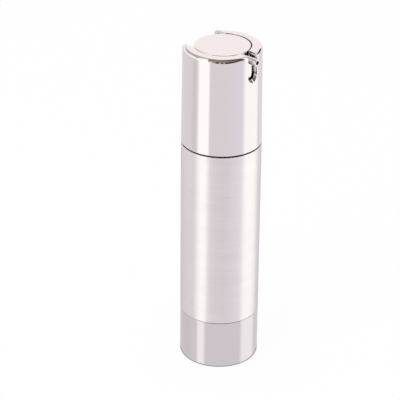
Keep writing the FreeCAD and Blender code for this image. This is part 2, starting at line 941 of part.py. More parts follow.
def make_tongue():
    """Curved strip below the nozzle that fills the slot, round at its lower end."""
    half = tongue_width / 2
    foot = total_height - tongue_drop
    bend = foot + half
    y = 0
    outline = Part.Wire(
        [
            Part.makeLine(point(-half, y, nozzle_height), point(-half, y, bend)),
            Part.Arc(point(-half, y, bend), point(0, y, foot), point(half, y, bend)).toShape(),
            Part.makeLine(point(half, y, bend), point(half, y, nozzle_height)),
            Part.makeLine(point(half, y, nozzle_height), point(-half, y, nozzle_height)),
        ]
    )
    prism = Part.Face(outline).extrude(OUT * bottle_radius)
    strip = prism.common(ring(tongue_inner_radius, tongue_outer_radius, foot, nozzle_height))
    front = edges_where(
        strip, lambda p: abs(math.hypot(p.x, p.y) - tongue_outer_radius) < press_gap
        and (p.z < nozzle_height - press_gap or abs(abs(p.x) - half) < press_gap),
    )
    return strip.makeFillet(tongue_edge_radius, front)


def make_button_cap():
    """Plated button: disc, skirt with a guide bead, nozzle boss and tongue."""
    bead_radius = ring_inner_radius - guide_gap
    bead_top_height = button_foot + button_bead_height
    top_corner = (button_radius, button_top_height)
    outline = [(0, button_plate_foot), (skirt_bore_radius, button_plate_foot)]
    outline.append((skirt_bore_radius, button_foot))
    outline.append((bead_radius, button_foot))
    outline.append((bead_radius, bead_top_height))
    outline.append((button_radius, bead_top_height + (bead_radius - button_radius)))
    outline += round_corner(
        top_corner, (button_radius, bead_top_height), (0, button_top_height), button_edge_radius,
    )
    outline.append((0, button_top_height))
    cap = spun(outline)
    boss_start = skirt_bore_radius + button_wall / 2
    boss_centre = point(0, -boss_start, nozzle_height)
    boss = Part.makeCylinder(nozzle_radius, nozzle_reach - boss_start, boss_centre, OUT)
    tip = edges_where(boss, lambda p: abs(p.y + nozzle_reach) < press_gap)
    boss = boss.makeFillet(nozzle_edge_radius, tip[:1])
    cap = cap.fuse([boss, make_tongue()])
    bore_start = skirt_bore_radius - cut_overrun
    bore_length = nozzle_reach - bore_start + cut_overrun
    bore_centre = point(0, -bore_start, nozzle_height)
    bore = Part.makeCylinder(nozzle_bore_radius, bore_length, bore_centre, OUT)
    return tidy(cap.cut(bore))


def make_actuator_core():
    """Socket for the stem, duct to the nozzle, and a ribbed ring that grips the skirt."""
    socket_bore = stem_radius + press_gap
    socket_outer = socket_bore + core_socket_wall
    ring_outer = skirt_bore_radius - press_gap
    ring_foot = core_top - core_ring_height
    duct_foot = core_top - core_duct_height
    socket = disc(socket_outer, stem_flange_top, core_top)
    hoop = ring(ring_outer - core_ring_wall, ring_outer, ring_foot, core_top)
    ribs = spokes(
        core_rib_count, core_rib_width, socket_outer - core_socket_wall / 2,
        ring_outer - core_ring_wall / 2, ring_foot, core_top,
    )
    duct = block(
        -core_duct_width / 2, core_duct_width / 2, -ring_outer, 0, duct_foot, core_top,
    ).common(disc(ring_outer, duct_foot, core_top))
    core = socket.fuse([hoop, duct] + ribs)
    bore = disc(socket_bore, stem_flange_top - cut_overrun, stem_top)
    riser = disc(stem_bore_radius, stem_top, nozzle_height)
    channel = Part.makeCylinder(
        core_channel_radius, ring_outer + cut_overrun, point(0, 0, nozzle_height), OUT,
    )
    return tidy(core.cut([bore, riser, channel]))


def make_nozzle_insert():
    """Liner of the nozzle, with the orifice."""
    start = skirt_bore_radius + press_gap
    length = nozzle_reach - insert_inset - start
    tube_centre = point(0, -start, nozzle_height)
    tube = Part.makeCylinder(nozzle_bore_radius - press_gap, length, tube_centre, OUT)
    hole_centre = point(0, -start + cut_overrun, nozzle_height)
    hole = Part.makeCylinder(orifice_radius, length + 2 * cut_overrun, hole_centre, OUT)
    return tube.cut(hole)


def main():
    makers = {
        "base_cap": make_base_cap,
        "base_plug": make_base_plug,
        "body_shell": make_body_shell,
        "inner_bottle": make_inner_bottle,
        "follower_piston": make_follower_piston,
        "neck_gasket": make_neck_gasket,
        "pump_housing": make_pump_housing,
        "inlet_ball": make_inlet_ball,
        "ball_retainer": make_ball_retainer,
        "stem_guide": make_stem_guide,
        "return_spring": make_return_spring,
        "valve_spindle": make_valve_spindle,
        "pump_piston": make_pump_piston,
        "stem": make_stem,
        "screw_collar": make_screw_collar,
        "head_sleeve": make_head_sleeve,
        "button_cap": make_button_cap,
        "actuator_core": make_actuator_core,
        "nozzle_insert": make_nozzle_insert,
    }
    os.makedirs("parts", exist_ok=True)
    for name, make in makers.items():
        shape = make()
        if shape.ShapeType != "Solid" and len(shape.Solids) == 1:
            shape = shape.Solids[0]
        print(name, len(shape.Solids), "solid", round(shape.Volume, 1), "mm3", "valid", shape.isValid())
        shape.exportStep("parts/" + name + ".step")
    chamber_area = math.pi * chamber_radius ** 2
    print("follower stroke for the stated capacity", round(capacity_ml * 1000 / chamber_area, 1), "mm")
    print("least gap of the spring to itself", round(least_spring_gap(), 2), "mm")


main()
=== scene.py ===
"""Looks of the airless pump bottle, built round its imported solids.

Each sub-assembly is a class that holds its sizes in millimetres, builds its meshes and dresses
them. Turned pieces carry the normals of their true surfaces, so that plating and brushed metal
reflect the studio cleanly.
"""

import logging
import math
from dataclasses import dataclass, field
from enum import Enum
from typing import Any, Optional, Sequence, Union

import bmesh
import bpy
from bmesh.types import BMesh, BMVert
from bpy.types import ID, Material, Mesh, NodeSocket, NodeTree, Object
from mathutils import Matrix, Vector


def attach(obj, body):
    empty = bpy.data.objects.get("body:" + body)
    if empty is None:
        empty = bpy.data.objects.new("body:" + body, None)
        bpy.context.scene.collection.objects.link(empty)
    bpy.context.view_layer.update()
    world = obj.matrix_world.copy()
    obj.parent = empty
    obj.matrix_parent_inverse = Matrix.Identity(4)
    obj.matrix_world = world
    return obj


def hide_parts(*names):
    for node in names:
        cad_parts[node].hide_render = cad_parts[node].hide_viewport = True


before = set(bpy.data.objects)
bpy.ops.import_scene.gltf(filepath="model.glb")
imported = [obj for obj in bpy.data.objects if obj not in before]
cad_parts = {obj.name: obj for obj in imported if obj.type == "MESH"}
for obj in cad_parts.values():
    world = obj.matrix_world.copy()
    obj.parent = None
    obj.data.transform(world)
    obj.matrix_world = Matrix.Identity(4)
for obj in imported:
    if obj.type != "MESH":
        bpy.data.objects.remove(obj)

LOG = logging.getLogger("airless_bottle")
MM = 0.001
AXIS = 1e-6
"""A radius under this lies on the axis."""
MERGE = 0.004
"""Points of a carved mesh that lie closer than this, in millimetres, are one."""

Colour = tuple[float, float, float, float]
Place = tuple[float, float, float]
Pair = tuple[float, float]
Value = Union["Term", float, Sequence[float]]
Inputs = dict[Union[str, int], Value]


def paint(*seen: float) -> Colour:
    """Turns a colour as seen on a screen into the linear colour that shaders use.

    Args:
        seen: Red, green and blue, from 0 to 255.

    Returns:
        The linear colour, with full alpha.
    """
    linear = []
    for channel in seen:
        share = channel / 255
        linear.append(share / 12.92 if share <= 0.04045 else ((share + 0.055) / 1.055) ** 2.4)
    return (*linear, 1.0)


def around(radius: float, angle: float, height: float) -> Vector:
    """The place at a radius, an angle and a height about the upright axis."""
    return Vector((radius * math.cos(angle), radius * math.sin(angle), height))


def linked(name: str, data: ID) -> Object:
    """Puts data into the scene as an object.

    Args:
        name: The object's name.
        data: Its mesh, camera or lamp.

    Returns:
        The object.
    """
    made = bpy.data.objects.new(name, data)
    bpy.context.scene.collection.objects.link(made)
    return made


# Shader maths


@dataclass(eq=False)
class Term:
    """A shader value, which is one output of a node, that Python's operators work on."""

    graph: "Graph"
    socket: Optional[NodeSocket]

    def math(self, operation: str, *values: Value) -> "Term":
        """Adds one Math node that works on these values."""
        return self.graph.node("Math", {"operation": operation}, dict(enumerate(values)))

    def __add__(self, other: Value) -> "Term":
        """Adds, in either order."""
        return self.math("ADD", self, other)

    def __sub__(self, other: Value) -> "Term":
        """Subtracts."""
        return self.math("SUBTRACT", self, other)

    def __rsub__(self, other: Value) -> "Term":
        """Subtracts this value from a plain number."""
        return self.math("SUBTRACT", other, self)

    def __mul__(self, other: Value) -> "Term":
        """Multiplies, in either order."""
        return self.math("MULTIPLY", self, other)

    __radd__ = __add__
    __rmul__ = __mul__


class Graph:
    """A node tree that is filled by one method."""

    def __init__(self, tree: NodeTree) -> None:
        """Empties the tree and keeps it."""
        self.tree = tree
        tree.nodes.clear()

    def node(
        self,
        kind: str,
        settings: Optional[dict[str, Any]] = None,
        inputs: Optional[Inputs] = None,
        output: Union[str, int] = 0,
    ) -> Term:
        """Adds a node of any kind.

        Args:
            kind: The node's type, without its prefix.
            settings: The node's own properties, which are set before its sockets.
            inputs: Values or terms by input name or number.
            output: The output that the result stands for.

        Returns:
            That output, as a term.
        """
        made = self.tree.nodes.new(f"ShaderNode{kind}")
        for name, value in (settings or {}).items():
            setattr(made, name, value)
        for name, value in (inputs or {}).items():
            if isinstance(value, Term):
                self.tree.links.new(value.socket, made.inputs[name])
            else:
                made.inputs[name].default_value = value
        return Term(self, made.outputs[output] if len(made.outputs) else None)

    def blend(self, share: Value, first: Value, second: Value) -> Term:
        """Mixes two colours: all of the first at 0, all of the second at 1."""
        inputs = {0: share, 6: first, 7: second}
        return self.node("Mix", {"data_type": "RGBA"}, inputs, output=2)

    def along(self, direction: Term, axis: Place) -> Term:
        """How far a direction runs along a fixed axis."""
        inputs = {0: direction, 1: axis}
        return self.node("VectorMath", {"operation": "DOT_PRODUCT"}, inputs, "Value")

    def noise(self, place: Term, scale: float, detail: float = 2.0, rough: float = 0.5) -> Term:
        """Soft noise from 0 to 1; rough is how strong its finer layers are."""
        inputs = {"Vector": place, "Scale": scale, "Detail": detail, "Roughness": rough}
        return self.node("TexNoise", None, inputs)

    def grain(self, place: Term, cells: Place, detail: float = 2.0, rough: float = 0.5) -> Term:
        """Soft noise with so many cells to a metre along each axis."""
        scaled = self.node("VectorMath", {"operation": "MULTIPLY"}, {0: place, 1: cells})
        return self.noise(scaled, 1.0, detail, rough)

    def ramp(self, value: Value, start: float, end: float) -> Term:
        """A smooth step from 0 at start to 1 at end."""
        inputs = {"Value": value, "From Min": start, "From Max": end, "To Min": 0.0, "To Max": 1.0}
        return self.node("MapRange", {"interpolation_type": "SMOOTHSTEP"}, inputs)

    def band(self, value: Value, low: float, high: float, soft: float) -> Term:
        """1 between two values and 0 outside, with edges that are twice soft wide."""
        rise = self.ramp(value, low - soft, low + soft)
        return rise * (1 - self.ramp(value, high - soft, high + soft))


# Finishes


def surface_graph(name: str) -> tuple[Material, Graph, Term]:
    """Starts a material.

    Args:
        name: The material's name.

    Returns:
        The material, its graph, and the place on the piece in metres.
    """
    material = bpy.data.materials.new(name)
    material.use_nodes = True
    graph = Graph(material.node_tree)
    return material, graph, graph.node("TexCoord", output="Object")


def close_surface(graph: Graph, inputs: Inputs, height: Term, rise: float, strength: float) -> None:
    """Ends a material with a bump and the main shader.

    Args:
        graph: The material's graph.
        inputs: The main shader's inputs.
        height: The bump's height, 0 to 1.
        rise: How tall that height is, in metres.
        strength: How much of the bump shows.
    """
    bump = graph.node("Bump", None, {"Strength": strength, "Distance": rise, "Height": height})
    shader = graph.node("BsdfPrincipled", None, {**inputs, "Normal": bump})
    graph.node("OutputMaterial", None, {"Surface": shader})


@dataclass(frozen=True)
class PlateFinish:
    """Bright metallised plating over moulded plastic: nearly a mirror, with a faint swell.

    The pairs tint and blur say how far haze and scuffs dull its colour and roughen it.
    """

    name: str = "polished_plate"
    bright: Colour = (0.83, 0.823, 0.826, 1.0)
    dull: Colour = (0.81, 0.8, 0.804, 1.0)
    roughness: float = 0.035
    tint: Pair = (0.35, 0.4)
    blur: Pair = (0.018, 0.03)
    haze_cells: float = 130.0
    swell_cells: float = 75.0
    fine_cells: float = 2600.0
    fine_share: float = 0.02
    hairlines: Place = (900.0, 900.0, 60.0)
    scuffed: Pair = (0.66, 0.8)
    rise: float = 0.000012
    strength: float = 0.35

    def material(self) -> Material:
        """Builds the plating.

        Returns:
            The material.
        """
        material, graph, place = surface_graph(self.name)
        haze = graph.noise(place, self.haze_cells, 4.0)
        fine = graph.noise(place, self.fine_cells)
        swell = graph.noise(place, self.swell_cells, 1.0)
        scuff = graph.ramp(graph.grain(place, self.hairlines), *self.scuffed)
        dulled = self.tint[0] * haze + self.tint[1] * scuff
        inputs = {
            "Base Color": graph.blend(dulled, self.bright, self.dull),
            "Metallic": 1.0,
            "Roughness": self.roughness + self.blur[0] * haze + self.blur[1] * scuff,
        }
        close_surface(graph, inputs, swell + self.fine_share * fine, self.rise, self.strength)
        return material


@dataclass(frozen=True)
class BrushedFinish:
    """Clear anodised aluminium with fine brush lines that run round the tube."""

    name: str = "brushed_aluminium"
    bright: Colour = (0.957, 0.951, 0.949, 1.0)
    dull: Colour = (0.912, 0.906, 0.904, 1.0)
    rim: Colour = (0.8, 0.79, 0.79, 1.0)
    roughness: float = 0.33
    worn_gloss: float = 0.05
    anisotropy: float = 0.72
    quarter_turn: float = 0.25
    lines: Place = (110.0, 110.0, 5200.0)
    streaks: Place = (55.0, 55.0, 1500.0)
    wisps: Place = (30.0, 30.0, 300.0)
    weights: Place = (0.45, 0.3, 0.25)
    worn: Pair = (0.32, 0.7)
    rise: float = 0.000004
    strength: float = 0.12

    def material(self) -> Material:
        """Builds the brushed metal.

        Returns:
            The material.
        """
        material, graph, place = surface_graph(self.name)
        lines = graph.grain(place, self.lines, 3.0, 0.6)
        streaks = graph.grain(place, self.streaks)
        wisps = graph.grain(place, self.wisps, 1.0)
        grain = self.weights[0] * lines + self.weights[1] * streaks + self.weights[2] * wisps
        worn = graph.ramp(grain, *self.worn)
        inputs = {
            "Base Color": graph.blend(worn, self.dull, self.bright),
            "Metallic": 1.0,
            "Roughness": self.roughness - self.worn_gloss * worn,
            "Specular Tint": self.rim,
            "Anisotropic": self.anisotropy,
            "Anisotropic Rotation": self.quarter_turn,
        }
        close_surface(graph, inputs, grain, self.rise, self.strength)
        return material


class Moulded(Enum):
    """The plastics that the hidden pieces are moulded in."""

    NATURAL = "bottle_plastic"
    SATIN = "piston_plastic"
    GLOSS = "pump_plastic"
    BLACK = "black_plastic"


@dataclass(frozen=True)
class PlasticFinish:
    """Moulded plastic: slightly uneven colour, a soft skin and a fine texture from the mould."""

    kind: Moulded
    light: Colour
    dark: Colour
    roughness: float
    texture: float
    depth: float
    cloud_cells: float = 160.0
    skin_cells: float = 5200.0
    flow: Place = (420.0, 420.0, 50.0)
    toned: Pair = (0.3, 0.7)
    scatter: float = 0.0006
    rise: float = 0.00003

    def material(self) -> Material:
        """Builds the plastic.

        Returns:
            The material.
        """
        material, graph, place = surface_graph(self.kind.value)
        cloud = graph.noise(place, self.cloud_cells, 3.0)
        flow = graph.grain(place, self.flow)
        skin = graph.noise(place, self.skin_cells)
        tone = graph.ramp(0.6 * cloud + 0.4 * flow, *self.toned)
        inputs = {
            "Base Color": graph.blend(tone, self.dark, self.light),
            "Roughness": self.roughness + 0.12 * (flow - 0.5) + 0.05 * skin,
            "IOR": 1.5,
            "Subsurface Weight": self.depth,
            "Subsurface Scale": self.scatter,
        }
        close_surface(graph, inputs, skin + 0.5 * flow, self.rise, self.texture)
        return material


@dataclass(frozen=True)
class RubberFinish:
    """Soft pale elastomer with a dusty skin."""

    name: str = "seal_rubber"
    light: Colour = (0.66, 0.655, 0.64, 1.0)
    dark: Colour = (0.52, 0.515, 0.5, 1.0)
    dust_cells: float = 900.0
    pore_cells: float = 6500.0
    dusty: Pair = (0.35, 0.65)
    rise: float = 0.00003

    def material(self) -> Material:
        """Builds the elastomer.

        Returns:
            The material.
        """
        material, graph, place = surface_graph(self.name)
        dust = graph.noise(place, self.dust_cells, 4.0, 0.6)
        pores = graph.noise(place, self.pore_cells)
        inputs = {
            "Base Color": graph.blend(graph.ramp(dust, *self.dusty), self.dark, self.light),
            "Roughness": 0.58 + 0.2 * dust,
            "IOR": 1.45,
        }
        close_surface(graph, inputs, pores + dust, self.rise, 0.4)
        return material


@dataclass(frozen=True)
class SteelFinish:
    """Stainless steel, as drawn wire or as a ground ball."""

    name: str
    roughness: float
    cells: float
    dark: Colour = (0.6, 0.59, 0.58, 1.0)
    light: Colour = (0.74, 0.735, 0.73, 1.0)
    tarnish_cells: float = 400.0
    rise: float = 0.000008

    def material(self) -> Material:
        """Builds the steel.

        Returns:
            The material.
        """
        material, graph, place = surface_graph(self.name)
        marks = graph.grain(place, (self.cells, self.cells, self.cells), 3.0, 0.6)
        tarnish = graph.noise(place, self.tarnish_cells)
        inputs = {
            "Base Color": graph.blend(tarnish, self.dark, self.light),
            "Metallic": 1.0,
            "Roughness": self.roughness + 0.14 * marks,
        }
        close_surface(graph, inputs, marks, self.rise, 0.4)
        return material


NATURAL_TONES = ((0.84, 0.838, 0.815, 1.0), (0.76, 0.757, 0.735, 1.0))
SATIN_TONES = ((0.88, 0.876, 0.865, 1.0), (0.8, 0.797, 0.79, 1.0))
GLOSS_TONES = ((0.9, 0.897, 0.89, 1.0), (0.84, 0.837, 0.83, 1.0))
BLACK_TONES = ((0.02, 0.02, 0.021, 1.0), (0.011, 0.011, 0.012, 1.0))


class Finishes:
    """Every finish of the bottle, made once and shared by its pieces."""

    def __init__(self) -> None:
        """Builds the materials, by the record's slot names."""
        plastics = (
            PlasticFinish(Moulded.NATURAL, *NATURAL_TONES, 0.4, 0.3, 0.35),
            PlasticFinish(Moulded.SATIN, *SATIN_TONES, 0.42, 0.35, 0.1),
            PlasticFinish(Moulded.GLOSS, *GLOSS_TONES, 0.24, 0.12, 0.1),
            PlasticFinish(Moulded.BLACK, *BLACK_TONES, 0.42, 0.3, 0.0),
        )
        steels = (SteelFinish("spring_steel", 0.22, 2500.0), SteelFinish("ball_steel", 0.07, 900.0))
        self.by_slot = {finish.kind.value: finish.material() for finish in plastics}
        for finish in (PlateFinish(), BrushedFinish(), RubberFinish(), *steels):
            self.by_slot[finish.name] = finish.material()

    def dress(self, piece: Object, slot: str) -> None:
        """Gives a piece the finish of one material slot, and reports it.

        Args:
            piece: The mesh.
            slot: The record's slot name.
        """
        piece.data.materials.clear()
        piece.data.materials.append(self.by_slot[slot])
        LOG.info("%s: %s, %d faces", piece.name, slot, len(piece.data.polygons))


# Turned sections


@dataclass(frozen=True)
class Corner:
    """A corner of a turned section, in millimetres, and the radius it is rounded to."""

    r: float
    z: float
    rounding: float = 0.0

    def place(self) -> Vector:
        """The corner as radius and height."""
        return Vector((self.r, self.z))


@dataclass(frozen=True)
class Run:
    """A straight or round stretch of a section, from start to end.

    A straight run has one normal. A round one has a centre, and its normals point away from the
    centre on an outside corner and towards it on an inside one.
    """

    start: Pair
    end: Pair
    normal: Pair
    centre: Optional[Pair] = None
    radius: float = 0.0
    outward: float = 1.0
    sweep: float = 0.0

    def normal_at(self, r: float, z: float) -> Pair:
        """The surface's normal at a place near this run.

        Args:
            r: The place's radius.
            z: The place's height.

        Returns:
            The normal's radial and upright parts.
        """
        if self.centre is None:
            return self.normal
        away = Vector((r - self.centre[0], z - self.centre[1]))
        away = away.normalized() * self.outward
        return (away.x, away.y)

    def distance(self, r: float, z: float) -> float:
        """How far a place lies from this run.

        Args:
            r: The place's radius.
            z: The place's height.

        Returns:
            The distance, which is endless beside a round run's ends.
        """
        start, end, place = Vector(self.start), Vector(self.end), Vector((r, z))
        chord = end - start
        share = (place - start).dot(chord) / max(chord.length_squared, 1e-12)
        if self.centre is None:
            return (place - (start + chord * min(1.0, max(0.0, share)))).length
        if not -0.02 <= share <= 1.02:
            return math.inf
        return abs((place - Vector(self.centre)).length - self.radius)

    def places(self, step: float) -> list[Pair]:
        """Points along the run, both ends included.

        Args:
            step: The largest turn between two points of a round run, in radians.

        Returns:
            The points, as radius and height.
        """
        if self.centre is None:
            return [self.start, self.end]
        count = max(2, math.ceil(abs(self.sweep) / step))
        centre = Vector(self.centre)
        arm = Vector(self.start) - centre
        turned = []
        for index in range(count + 1):
            angle = self.sweep * index / count
            cosine, sine = math.cos(angle), math.sin(angle)
            r = centre.x + arm.x * cosine - arm.y * sine
            turned.append((r, centre.y + arm.x * sine + arm.y * cosine))
        return turned


class Section:
    """A turned section, drawn with the material on the left of its direction of travel."""

    def __init__(self, *corners: Corner, closed: bool = True) -> None:
        """Rounds the corners and lists the runs between them.

        Args:
            corners: The corners in order.
            closed: Whether the last corner joins the first one. An open section starts and ends
                on the axis.
        """
        self.runs: list[Run] = []
        count = len(corners)
        cuts = [self._cut(corners, index) for index in range(count)]
        for index, (_, arc, start) in enumerate(cuts):
            if arc is not None:
                self.runs.append(arc)
            if not closed and index == count - 1:
                break
            end = cuts[(index + 1) % count][0]
            away = Vector(end) - Vector(start)
            if away.length > 1e-7:
                away.normalize()
                self.runs.append(Run(start, end, (away.y, -away.x)))

    @staticmethod
    def _cut(corners: Sequence[Corner], index: int) -> tuple[Pair, Optional[Run], Pair]:
        """Where a corner's rounding starts and ends, and the arc between.

        Args:
            corners: All corners.
            index: The corner's number.

        Returns:
            The start, the arc if there is one, and the end.
        """
        radius = corners[index].rounding
        place = corners[index].place()
        if radius <= 0:
            return tuple(place), None, tuple(place)
        first = (place - corners[index - 1].place()).normalized()
        second = (corners[(index + 1) % len(corners)].place() - place).normalized()
        sweep = math.atan2(first.x * second.y - first.y * second.x, first.dot(second))
        reach = radius * math.tan(abs(sweep) / 2)
        side = 1.0 if sweep > 0 else -1.0
        normal = Vector((first.y, -first.x))
        start = place - first * reach
        end = place + second * reach
        centre = start - normal * side * radius
        arc = Run(tuple(start), tuple(end), tuple(normal), tuple(centre), radius, side, sweep)
        return tuple(start), arc, tuple(end)

    def nearest(self, r: float, z: float, facing: Pair) -> Optional[Run]:
        """The run that a small face belongs to.

        Args:
            r: The face's radius.
            z: The face's height.
            facing: The face's normal, radial and upright.

        Returns:
            The run, or None for a face that lies on none of them.
        """
        best, least = None, 3 * MERGE
        for run in self.runs:
            away = run.distance(r, z)
            normal = run.normal_at(r, z)
            if away < least and normal[0] * facing[0] + normal[1] * facing[1] > 0.94:
                best, least = run, away
        return best


@dataclass
class Turned:
    """A piece spun from a section about the upright axis."""

    section: Section
    segments: int = 256
    arc_step: float = math.radians(9)
    same: float = 0.0005
    points: list[Vector] = field(default_factory=list)
    faces: list[tuple[int, ...]] = field(default_factory=list)
    normals: list[Vector] = field(default_factory=list)
    rings: list[tuple[float, float, list[int]]] = field(default_factory=list)

    def _ring(self, r: float, z: float) -> list[int]:
        """The ring of points at one radius and height, made once.

        Args:
            r: The radius.
            z: The height.

        Returns:
            The points' numbers, one alone on the axis.
        """
        for known_r, known_z, numbers in self.rings:
            if abs(known_r - r) < self.same and abs(known_z - z) < self.same:
                return numbers
        count = self.segments if r > AXIS else 1
        numbers = list(range(len(self.points), len(self.points) + count))
        for index in range(count):
            self.points.append(around(r, 2 * math.pi * index / self.segments, z))
        self.rings.append((r, z, numbers))
        return numbers

    def mesh(self, name: str) -> Mesh:
        """Spins the section into a mesh in millimetres.

        Args:
            name: The mesh's name.

        Returns:
            The mesh, with its true normals.
        """
        for run in self.section.runs:
            places = run.places(self.arc_step)
            for low, high in zip(places, places[1:]):
                self._strip(run, low, high)
        mesh = bpy.data.meshes.new(name)
        mesh.from_pydata(self.points, [], self.faces)
        mesh.polygons.foreach_set("use_smooth", [True] * len(mesh.polygons))
        mesh.normals_split_custom_set(self.normals)
        return mesh

    def _strip(self, run: Run, low: Pair, high: Pair) -> None:
        """Adds the faces between two rings.

        Args:
            run: The run that they lie on.
            low: The first ring's radius and height.
            high: The second ring's radius and height.
        """
        first, second = self._ring(*low), self._ring(*high)
        for index in range(self.segments):
            after = (index + 1) % self.segments
            row = [(first, index, low), (first, after, low)]
            row += [(second, after, high), (second, index, high)]
            corners: list[int] = []
            for ring, place, level in row:
                alone = len(ring) == 1
                number = ring[0 if alone else place]
                if number in corners:
                    continue
                corners.append(number)
                turn = index + 0.5 if alone else place
                radial, upright = run.normal_at(*level)
                self.normals.append(around(radial, 2 * math.pi * turn / self.segments, upright))
            self.faces.append(tuple(corners))


class Workshop:
    """Makes objects of meshes, and cuts and joins them."""

    @staticmethod
    def place(mesh: Mesh, name: str, move: Optional[Matrix] = None) -> Object:
        """Puts a mesh drawn in millimetres into the scene, in metres; move is in millimetres."""
        mesh.transform(Matrix.Scale(MM, 4) @ (move or Matrix.Identity(4)))
        return linked(name, mesh)

    @staticmethod
    def prism(outline: Sequence[Place], other: Sequence[Place], name: str) -> Object:
        """A closed solid between two outlines with as many points each, in millimetres.

        Args:
            outline: The first outline.
            other: The second outline.
            name: The solid's name.

        Returns:
            The solid, as an object that serves as a tool.
        """
        builder = bmesh.new()
        first = [builder.verts.new(p) for p in outline]
        second = [builder.verts.new(p) for p in other]
        builder.faces.new(first)
        builder.faces.new(list(reversed(second)))
        for index in range(len(first)):
            builder.faces.new((first[index], first[index - 1], second[index - 1], second[index]))
        bmesh.ops.recalc_face_normals(builder, faces=builder.faces)
        mesh = bpy.data.meshes.new(name)
        builder.to_mesh(mesh)
        builder.free()
        return linked(name, mesh)

    @staticmethod
    def pillar(corners: Sequence[Pair], foot: float, top: float, name: str) -> Object:
        """An upright solid over a flat outline, in millimetres."""
        return Workshop.prism(*([(x, y, z) for x, y in corners] for z in (foot, top)), name)

    @staticmethod
    def carve(mesh: Mesh, added: Sequence[Object], cut: Sequence[Object]) -> Mesh:
        """Joins tools to a mesh, then cuts others out of it.

        Args:
            mesh: The mesh, in millimetres.
            added: Solids to join.
            cut: Solids to cut away.

        Returns:
            The new mesh.
        """
        body = linked(mesh.name, mesh)
        for tools, operation in ((added, "UNION"), (cut, "DIFFERENCE")):
            for tool in tools:
                step = body.modifiers.new(tool.name, "BOOLEAN")
                step.operation = operation
                step.solver = "EXACT"
                step.object = tool
        depsgraph = bpy.context.evaluated_depsgraph_get()
        carved = bpy.data.meshes.new_from_object(body.evaluated_get(depsgraph))
        for made in (body, *added, *cut):
            bpy.data.objects.remove(made)
        return carved

    @staticmethod
    def shell(builder: BMesh, name: str, crease: float) -> Object:
        """Places a smooth piece made of the built faces, in millimetres, and frees them.

        Args:
            builder: The faces.
            name: The piece's name.
            crease: The bend from which an edge is sharp, in degrees.

        Returns:
            The piece.
        """
        bmesh.ops.recalc_face_normals(builder, faces=builder.faces)
        for face in builder.faces:
            face.smooth = True
        for edge in builder.edges:
            edge.smooth = edge.calc_face_angle(0.0) < math.radians(crease)
        mesh = bpy.data.meshes.new(name)
        builder.to_mesh(mesh)
        builder.free()
        return Workshop.place(mesh, name)


@dataclass
class TrueNormals:
    """Gives a carved turned piece the normals of its section, and rounds its cut edges.

    The rounding, soften, is in millimetres, and edges that bend over sharp degrees get it.
    """

    section: Section
    soften: float
    sharp: float = 28.0
    steps: int = 2

    def run_of(self, centre: Vector, normal: Vector) -> Optional[Run]:
        """The section's run that a face lies on.

        Args:
            centre: The face's centre.
            normal: The face's normal.

        Returns:
            The run, or None for a cut face.
        """
        r = math.hypot(centre.x, centre.y)
        radial = (normal.x * centre.x + normal.y * centre.y) / r
        return self.section.nearest(r, centre.z, (radial, normal.z))

    def round_edges(self, builder: BMesh) -> set[int]:
        """Rounds the sharp edges between turned faces and cut ones.

        Args:
            builder: The mesh under work.

        Returns:
            The numbers of the faces that the rounding made.
        """
        builder.faces.ensure_lookup_table()
        cut = {
            face.index
            for face in builder.faces
            if self.run_of(face.calc_center_median(), face.normal) is None
        }
        bent = []
        for edge in builder.edges:
            if len(edge.link_faces) == 2 and edge.calc_face_angle(0.0) >= math.radians(self.sharp):
                if any(face.index in cut for face in edge.link_faces):
                    bent.append(edge)
        made = bmesh.ops.bevel(
            builder,
            geom=bent,
            offset=self.soften,
            offset_type="OFFSET",
            segments=self.steps,
            profile=0.5,
            affect="EDGES",
            clamp_overlap=True,
            loop_slide=True,
        )
        builder.faces.index_update()
        return {face.index for face in made["faces"]}

    def apply(self, mesh: Mesh) -> Mesh:
        """Rounds the mesh's cut edges and sets every corner's normal.

        Args:
            mesh: The carved mesh, in millimetres.

        Returns:
            The same mesh.
        """
        builder = bmesh.new()
        builder.from_mesh(mesh)
        bmesh.ops.remove_doubles(builder, verts=builder.verts, dist=MERGE)
        bmesh.ops.dissolve_degenerate(builder, edges=builder.edges, dist=MERGE)
        rounded = self.round_edges(builder)
        builder.normal_update()
        builder.to_mesh(mesh)
        builder.free()
        mesh.update()
        self._set(mesh, rounded)
        return mesh

    def _set(self, mesh: Mesh, rounded: set[int]) -> None:
        """Works out and sets the normals.

        Args:
            mesh: The mesh.
            rounded: The numbers of the rounding's faces.
        """
        anchors: dict[int, tuple[float, Vector]] = {}
        loops: list[Optional[Vector]] = [None] * len(mesh.loops)
        for face in mesh.polygons:
            if face.index in rounded:
                continue
            run = self.run_of(face.center, face.normal)
            for loop in face.loop_indices:
                number = mesh.loops[loop].vertex_index
                place = mesh.vertices[number].co
                normal = face.normal.copy()
                r = math.hypot(place.x, place.y)
                if run is not None:
                    radial, upright = run.normal_at(r, place.z)
                    normal = Vector((radial * place.x / r, radial * place.y / r, upright))
                loops[loop] = normal
                if number not in anchors or face.area > anchors[number][0]:
                    anchors[number] = (face.area, normal)
        sums: dict[int, Vector] = {}
        for index in rounded:
            face = mesh.polygons[index]
            for number in face.vertices:
                sums.setdefault(number, Vector())
                sums[number] += face.normal * face.area
        for index in rounded:
            for loop in mesh.polygons[index].loop_indices:
                number = mesh.loops[loop].vertex_index
                anchor = anchors.get(number)
                loops[loop] = anchor[1] if anchor else sums[number].normalized()
        mesh.polygons.foreach_set("use_smooth", [True] * len(mesh.polygons))
        mesh.normals_split_custom_set([normal.normalized() for normal in loops])


# Sub-assemblies


@dataclass
class Assembly:
    """A sub-assembly, which dresses its pieces in the finishes that all share."""

    finishes: Finishes


